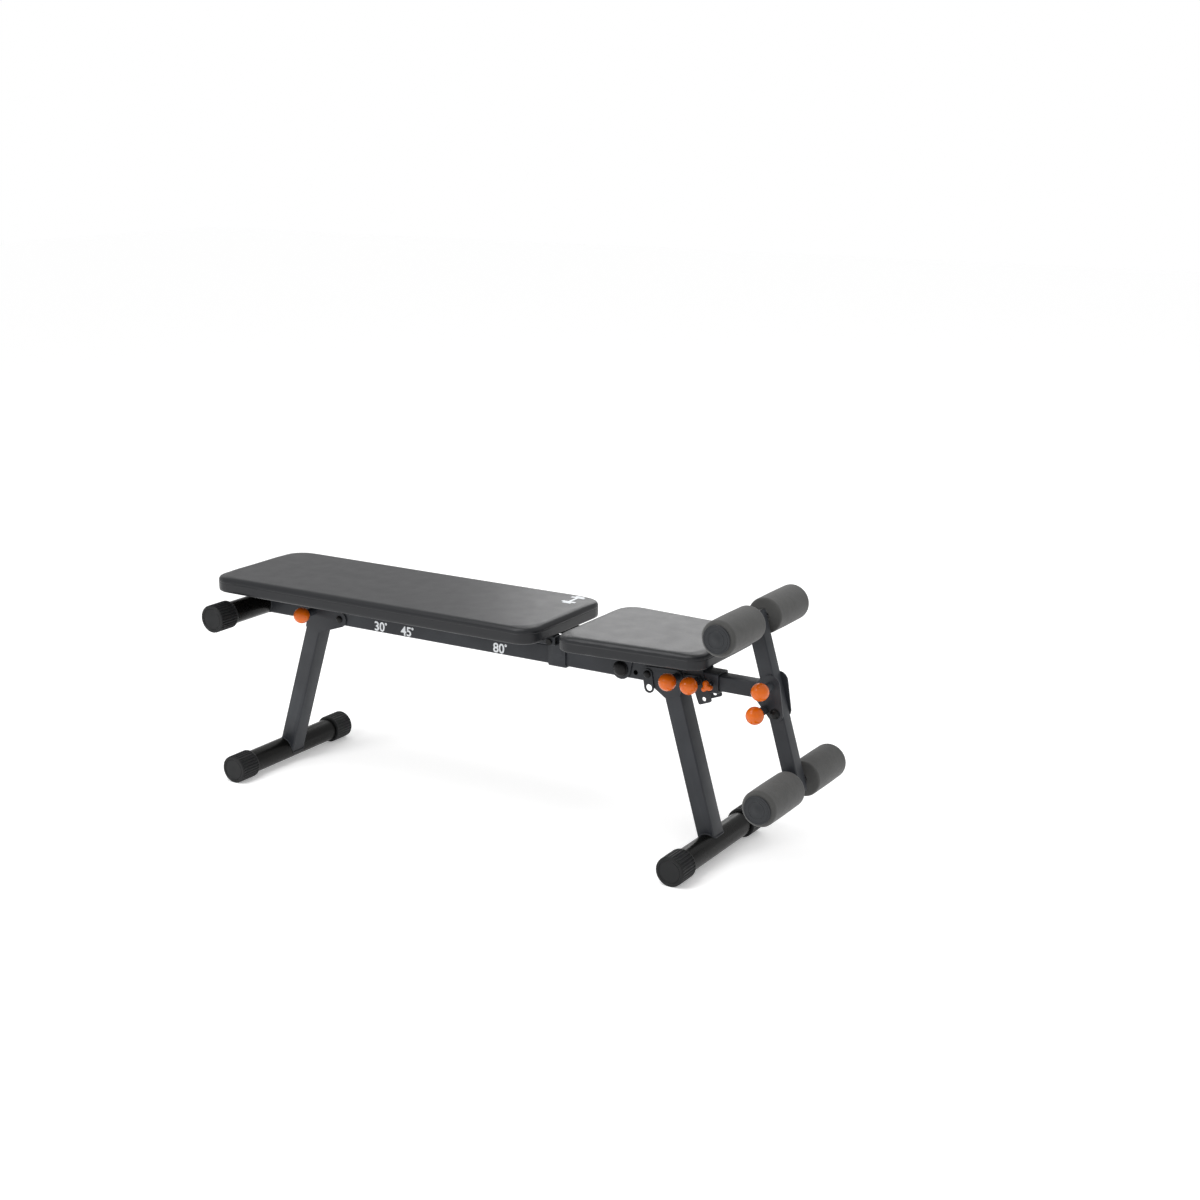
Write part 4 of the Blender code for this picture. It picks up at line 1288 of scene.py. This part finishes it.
    def staples(self, shop: Workshop, path: np.ndarray, bottom: float, count: int = 64) -> None:
        """Staples 9 mm long along the hem, turned by turns to either side of its line."""
        at = (np.arange(count) * len(path) / count).astype(int)
        ahead = np.roll(path, -1, 0)[at] - path[at]
        heading = np.arctan2(ahead[:, 1], ahead[:, 0]) + 0.35 * np.where(np.arange(count) % 2, 1, -1)
        corners = np.array([(x, y, z) for x in (-0.0045, 0.0045) for y in (-0.0004, 0.0004)
                            for z in (-0.0004, 0.0002)])
        c, s = np.cos(heading)[:, None], np.sin(heading)[:, None]
        x = path[at, 0][:, None] + c * corners[:, 0] - s * corners[:, 1]
        y = path[at, 1][:, None] + s * corners[:, 0] + c * corners[:, 1]
        z = np.broadcast_to(bottom + corners[:, 2], x.shape)
        points = np.stack([x, y, z], -1).reshape(-1, 3)
        box = np.array([(0, 1, 3, 2), (4, 6, 7, 5), (0, 4, 5, 1),
                        (2, 3, 7, 6), (0, 2, 6, 4), (1, 5, 7, 3)])
        faces = (box[None] + 8 * np.arange(count)[:, None, None]).reshape(-1, 4)
        name = self.name + "_staples"
        mesh = bpy.data.meshes.new(name)
        mesh.from_pydata(points.tolist(), [], faces.tolist())
        shop.piece(name, mesh, Palette.ZINC, self.name)


def points_of(mesh: bpy.types.Mesh) -> np.ndarray:
    """A mesh's points as an array (n, 3)."""
    values = np.empty(len(mesh.vertices) * 3)
    mesh.vertices.foreach_get("co", values)
    return values.reshape(-1, 3)


def set_points(mesh: bpy.types.Mesh, points: np.ndarray) -> None:
    """Moves a mesh's points."""
    mesh.vertices.foreach_set("co", points.ravel())
    mesh.update()


# ---- printing ----


@dataclass
class AngleMarks:
    """The scale beside the rack: the backrest's angle at each notch.

    Attributes:
        stops: Angle and distance of its mark from the backrest's hinge.
        height: Height of the figures.
        em: Text size for figures 1 m high.
        bold: How much the strokes are thickened on each side.
        ink: Half thickness of the ink.
        ring: Height of the degree sign, as a share of the figures'.
        drop: How far the figures' middle is under the middle of the rail.
    """

    stops: tuple[tuple[int, float], ...] = ((30, 0.4555), (45, 0.3835), (80, 0.1445))
    height: float = 0.0205
    em: float = 1.38
    bold: float = 0.0006
    ink: float = 0.00008
    ring: float = 0.6
    drop: float = 0.008

    def build(self, shop: Workshop) -> None:
        """Prints each mark on the rail's right face: its figures and, top right, a small ring."""
        low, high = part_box("rear_rail")
        hinge = box_middle("backrest_hinge_bolt").x
        for degrees, distance in self.stops:
            figures = self.letters(str(degrees), self.height)
            points = points_of(figures)
            ring = self.letters("\u00b0", self.height * self.ring)
            corner = points_of(ring)[:, :2]
            step = np.array([points[:, 0].max() + 0.0008, points[:, 1].max()]) - (
                corner[:, 0].min(), corner[:, 1].max())
            ring.transform(Matrix.Translation((step[0], step[1], 0.0)))
            mesh = merged("mark", (figures, ring))
            level = (low.z + high.z) / 2 - self.drop
            place = Matrix.Translation((hinge - distance, low.y - 1.5 * self.ink, level))
            mesh.transform(place @ Matrix.Rotation(math.pi / 2, 4, "X"))
            shop.piece("angle_mark_%d" % degrees, mesh, Palette.PRINT, "frame")

    def letters(self, words: str, height: float) -> bpy.types.Mesh:
        """Turns text into a thin mesh, centred on the origin."""
        text = bpy.data.curves.new("letters", "FONT")
        text.body = words
        text.size = height * self.em
        text.align_x = "CENTER"
        text.align_y = "CENTER"
        text.offset = self.bold
        text.extrude = self.ink
        holder = bpy.data.objects.new("letters", text)
        bpy.context.scene.collection.objects.link(holder)
        bpy.context.view_layer.update()
        mesh = bpy.data.meshes.new_from_object(holder)
        bpy.data.objects.remove(holder)
        return mesh


@dataclass
class PadMark:
    """A plain dumbbell sign printed on the backrest, laid onto the stuffed vinyl.

    Attributes:
        centre: Place of the sign, measured from the pad's foot end and its left edge.
        bars: Length along Y, width along X and place along Y of each bar of the sign.
        thickness: Thickness of the print.
        proud: How far its top is over the vinyl.
    """

    centre: tuple[float, float] = (0.052, 0.045)
    bars: tuple[tuple[float, float, float], ...] = (
        (0.0300, 0.0060, 0.0), (0.0070, 0.0320, -0.0180), (0.0070, 0.0320, 0.0180),
        (0.0060, 0.0200, -0.0260), (0.0060, 0.0200, 0.0260))
    thickness: float = 0.0006
    proud: float = 0.00035

    def build(self, shop: Workshop, pad: bpy.types.Object) -> None:
        """Drapes a fine grid for each bar onto the pad."""
        _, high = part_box("backrest_cushion")
        graph = bpy.context.evaluated_depsgraph_get()
        tree = BVHTree.FromObject(pad, graph)
        x0, y0 = high.x - self.centre[0], high.y - self.centre[1]
        meshes = []
        for length, width, offset in self.bars:
            u = np.linspace(-width / 2, width / 2, 7)
            v = np.linspace(-length / 2, length / 2, 9)
            top = np.array([[self.drop(tree, x0 + a, y0 + offset + b) for b in v] for a in u])
            base = top - np.array([0.0, 0.0, self.thickness])
            grid = np.concatenate([top, base[:, ::-1]], axis=1)
            meshes.append(tube_mesh("bar", grid))
        shop.piece("pad_sign", merged("pad_sign", meshes), Palette.PRINT, "backrest")

    def drop(self, tree: BVHTree, x: float, y: float) -> tuple[float, float, float]:
        """Point on the pad under (x, y), raised a little."""
        hit = tree.ray_cast(Vector((x, y, 1.0)), Vector((0.0, 0.0, -1.0)))[0]
        return x, y, hit.z + self.proud


# ---- studio ----


@dataclass
class SoftBox:
    """A square area light that looks at a point.

    Attributes:
        place: Where it hangs.
        target: What it looks at.
        size: Length of its side.
        power: Watts.
    """

    place: tuple[float, float, float]
    target: tuple[float, float, float]
    size: float
    power: float

    def build(self) -> None:
        """Hangs the light."""
        light = bpy.data.lights.new("softbox", "AREA")
        light.shape = "SQUARE"
        light.size = self.size
        light.energy = self.power
        holder = bpy.data.objects.new("softbox", light)
        bpy.context.scene.collection.objects.link(holder)
        holder.location = self.place
        holder.visible_camera = False
        heading = Vector(self.target) - Vector(self.place)
        holder.rotation_euler = heading.to_track_quat("-Z", "Y").to_euler()


@dataclass
class Studio:
    """White floor, soft light and the camera.

    Attributes:
        camera: Place of the camera.
        turn: Its rotation.
        lens: Focal length in millimetres on a 36 mm sensor.
        fill: Brightness of the sky as the bench sees it; the camera sees it white.
        reach: Half width of the floor.
    """

    camera: tuple[float, float, float] = (2.0845, -3.0237, 1.4432)
    turn: tuple[float, float, float] = (1.3090, 0.0, 0.5530)
    lens: float = 55.49
    fill: float = 0.72
    reach: float = 14.0

    def build(self) -> None:
        """Sets up floor, sky, lights and camera."""
        scene = bpy.context.scene
        scene.view_settings.view_transform = "Standard"
        self.floor()
        scene.world = self.sky()
        SoftBox((-0.4, -0.9, 3.0), (0.1, 0.0, 0.3), 1.6, 34.0).build()
        SoftBox((-1.1, 2.6, 1.5), (0.1, 0.0, 0.45), 1.1, 8.0).build()
        SoftBox((-0.9, -2.2, 2.2), (0.2, 0.0, 0.3), 0.8, 17.0).build()
        camera = bpy.data.cameras.new("camera")
        camera.lens = self.lens
        camera.sensor_width = 36.0
        holder = bpy.data.objects.new("camera", camera)
        scene.collection.objects.link(holder)
        holder.location = self.camera
        holder.rotation_euler = self.turn
        scene.camera = holder

    def sky(self) -> bpy.types.World:
        """A white backdrop that gives the bench only part of its brightness as fill light."""
        world = bpy.data.worlds.new("studio")
        world.use_nodes = True
        tree = world.node_tree
        seen = add_node(tree, "ShaderNodeLightPath").outputs["Is Camera Ray"]
        level = add_node(tree, "ShaderNodeMapRange", {"To Min": self.fill, "To Max": 1.0},
                         {"Value": seen})
        background = tree.nodes["Background"]
        background.inputs["Color"].default_value = (1.0, 1.0, 1.0, 1.0)
        tree.links.new(level.outputs["Result"], background.inputs["Strength"])
        return world

    def floor(self) -> None:
        """A wide matt white sheet, lit a little from behind so that it meets the backdrop evenly."""
        mesh = bpy.data.meshes.new("floor")
        corners = [(x * self.reach, y * self.reach, 0) for x, y in ((-1, -1), (1, -1), (1, 1), (-1, 1))]
        mesh.from_pydata(corners, [], [(0, 1, 2, 3)])
        floor = bpy.data.objects.new("floor", mesh)
        bpy.context.scene.collection.objects.link(floor)
        paper = Finish("paper_white", "frame_paint", "#fefefe", 0.9).build()
        shader = paper.node_tree.nodes["Principled BSDF"]
        shader.inputs["Emission Color"].default_value = (1.0, 1.0, 1.0, 1.0)
        shader.inputs["Emission Strength"].default_value = 1.0 - self.fill
        mesh.materials.append(paper)


def build_bench(shop: Workshop) -> None:
    """Makes every piece of the bench, sub-assembly by sub-assembly."""
    Steelwork().build(shop)
    for name, floor_sole in (("head", False), ("rear_foot", True), ("front_foot", True)):
        CrossTube(name, floor_sole).build(shop)
    head, rear, front = (box_middle(node) for node in ("head_tube", "rear_foot_tube", "front_foot_tube"))
    for bead in (
            WeldBead("rear_foot_weld", "rear_leg", "rear_foot_tube", (rear.x + 0.0063, rear.z),
                     (0.0963, 0.302), 0.038, 0.0416),
            WeldBead("front_foot_weld", "front_leg", "front_foot_tube", (front.x + 0.0011, front.z),
                     (-0.0847, 0.302), 0.038, 0.0416),
            WeldBead("head_weld", "frame", "head_tube", (head.x, head.z), (1.0, 0.0), 0.040, 0.040)):
        bead.build(shop)
    for node, dome in (("rear_pivot_bolt", 0.005), ("front_pivot_bolt", 0.005),
                       ("seat_pivot_bolt", 0.0103), ("leg_hold_bolt", 0.006)):
        PivotBolt(node, dome).build(shop)
    for name in ("rear_lock_pin", "front_lock_pin", "post_lock_pin", "upper_lock_pin", "lower_lock_pin"):
        PullPin(name).build(shop)
    WingKnob().build(shop)
    LegHold().build(shop)
    backrest = Pad("backrest", Palette.BACK_VINYL).build(shop)
    Pad("seat", Palette.SEAT_VINYL).build(shop)
    AngleMarks().build(shop)
    PadMark().build(shop, backrest)


def main() -> None:
    """Loads the frame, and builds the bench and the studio."""
    logging.basicConfig(level=logging.INFO, format="%(name)s %(message)s")
    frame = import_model()
    shop = Workshop(frame, Palette())
    build_bench(shop)
    Studio().build()
    LOG.info("%d pieces made", shop.count)


if __name__ == "__main__":
    main()
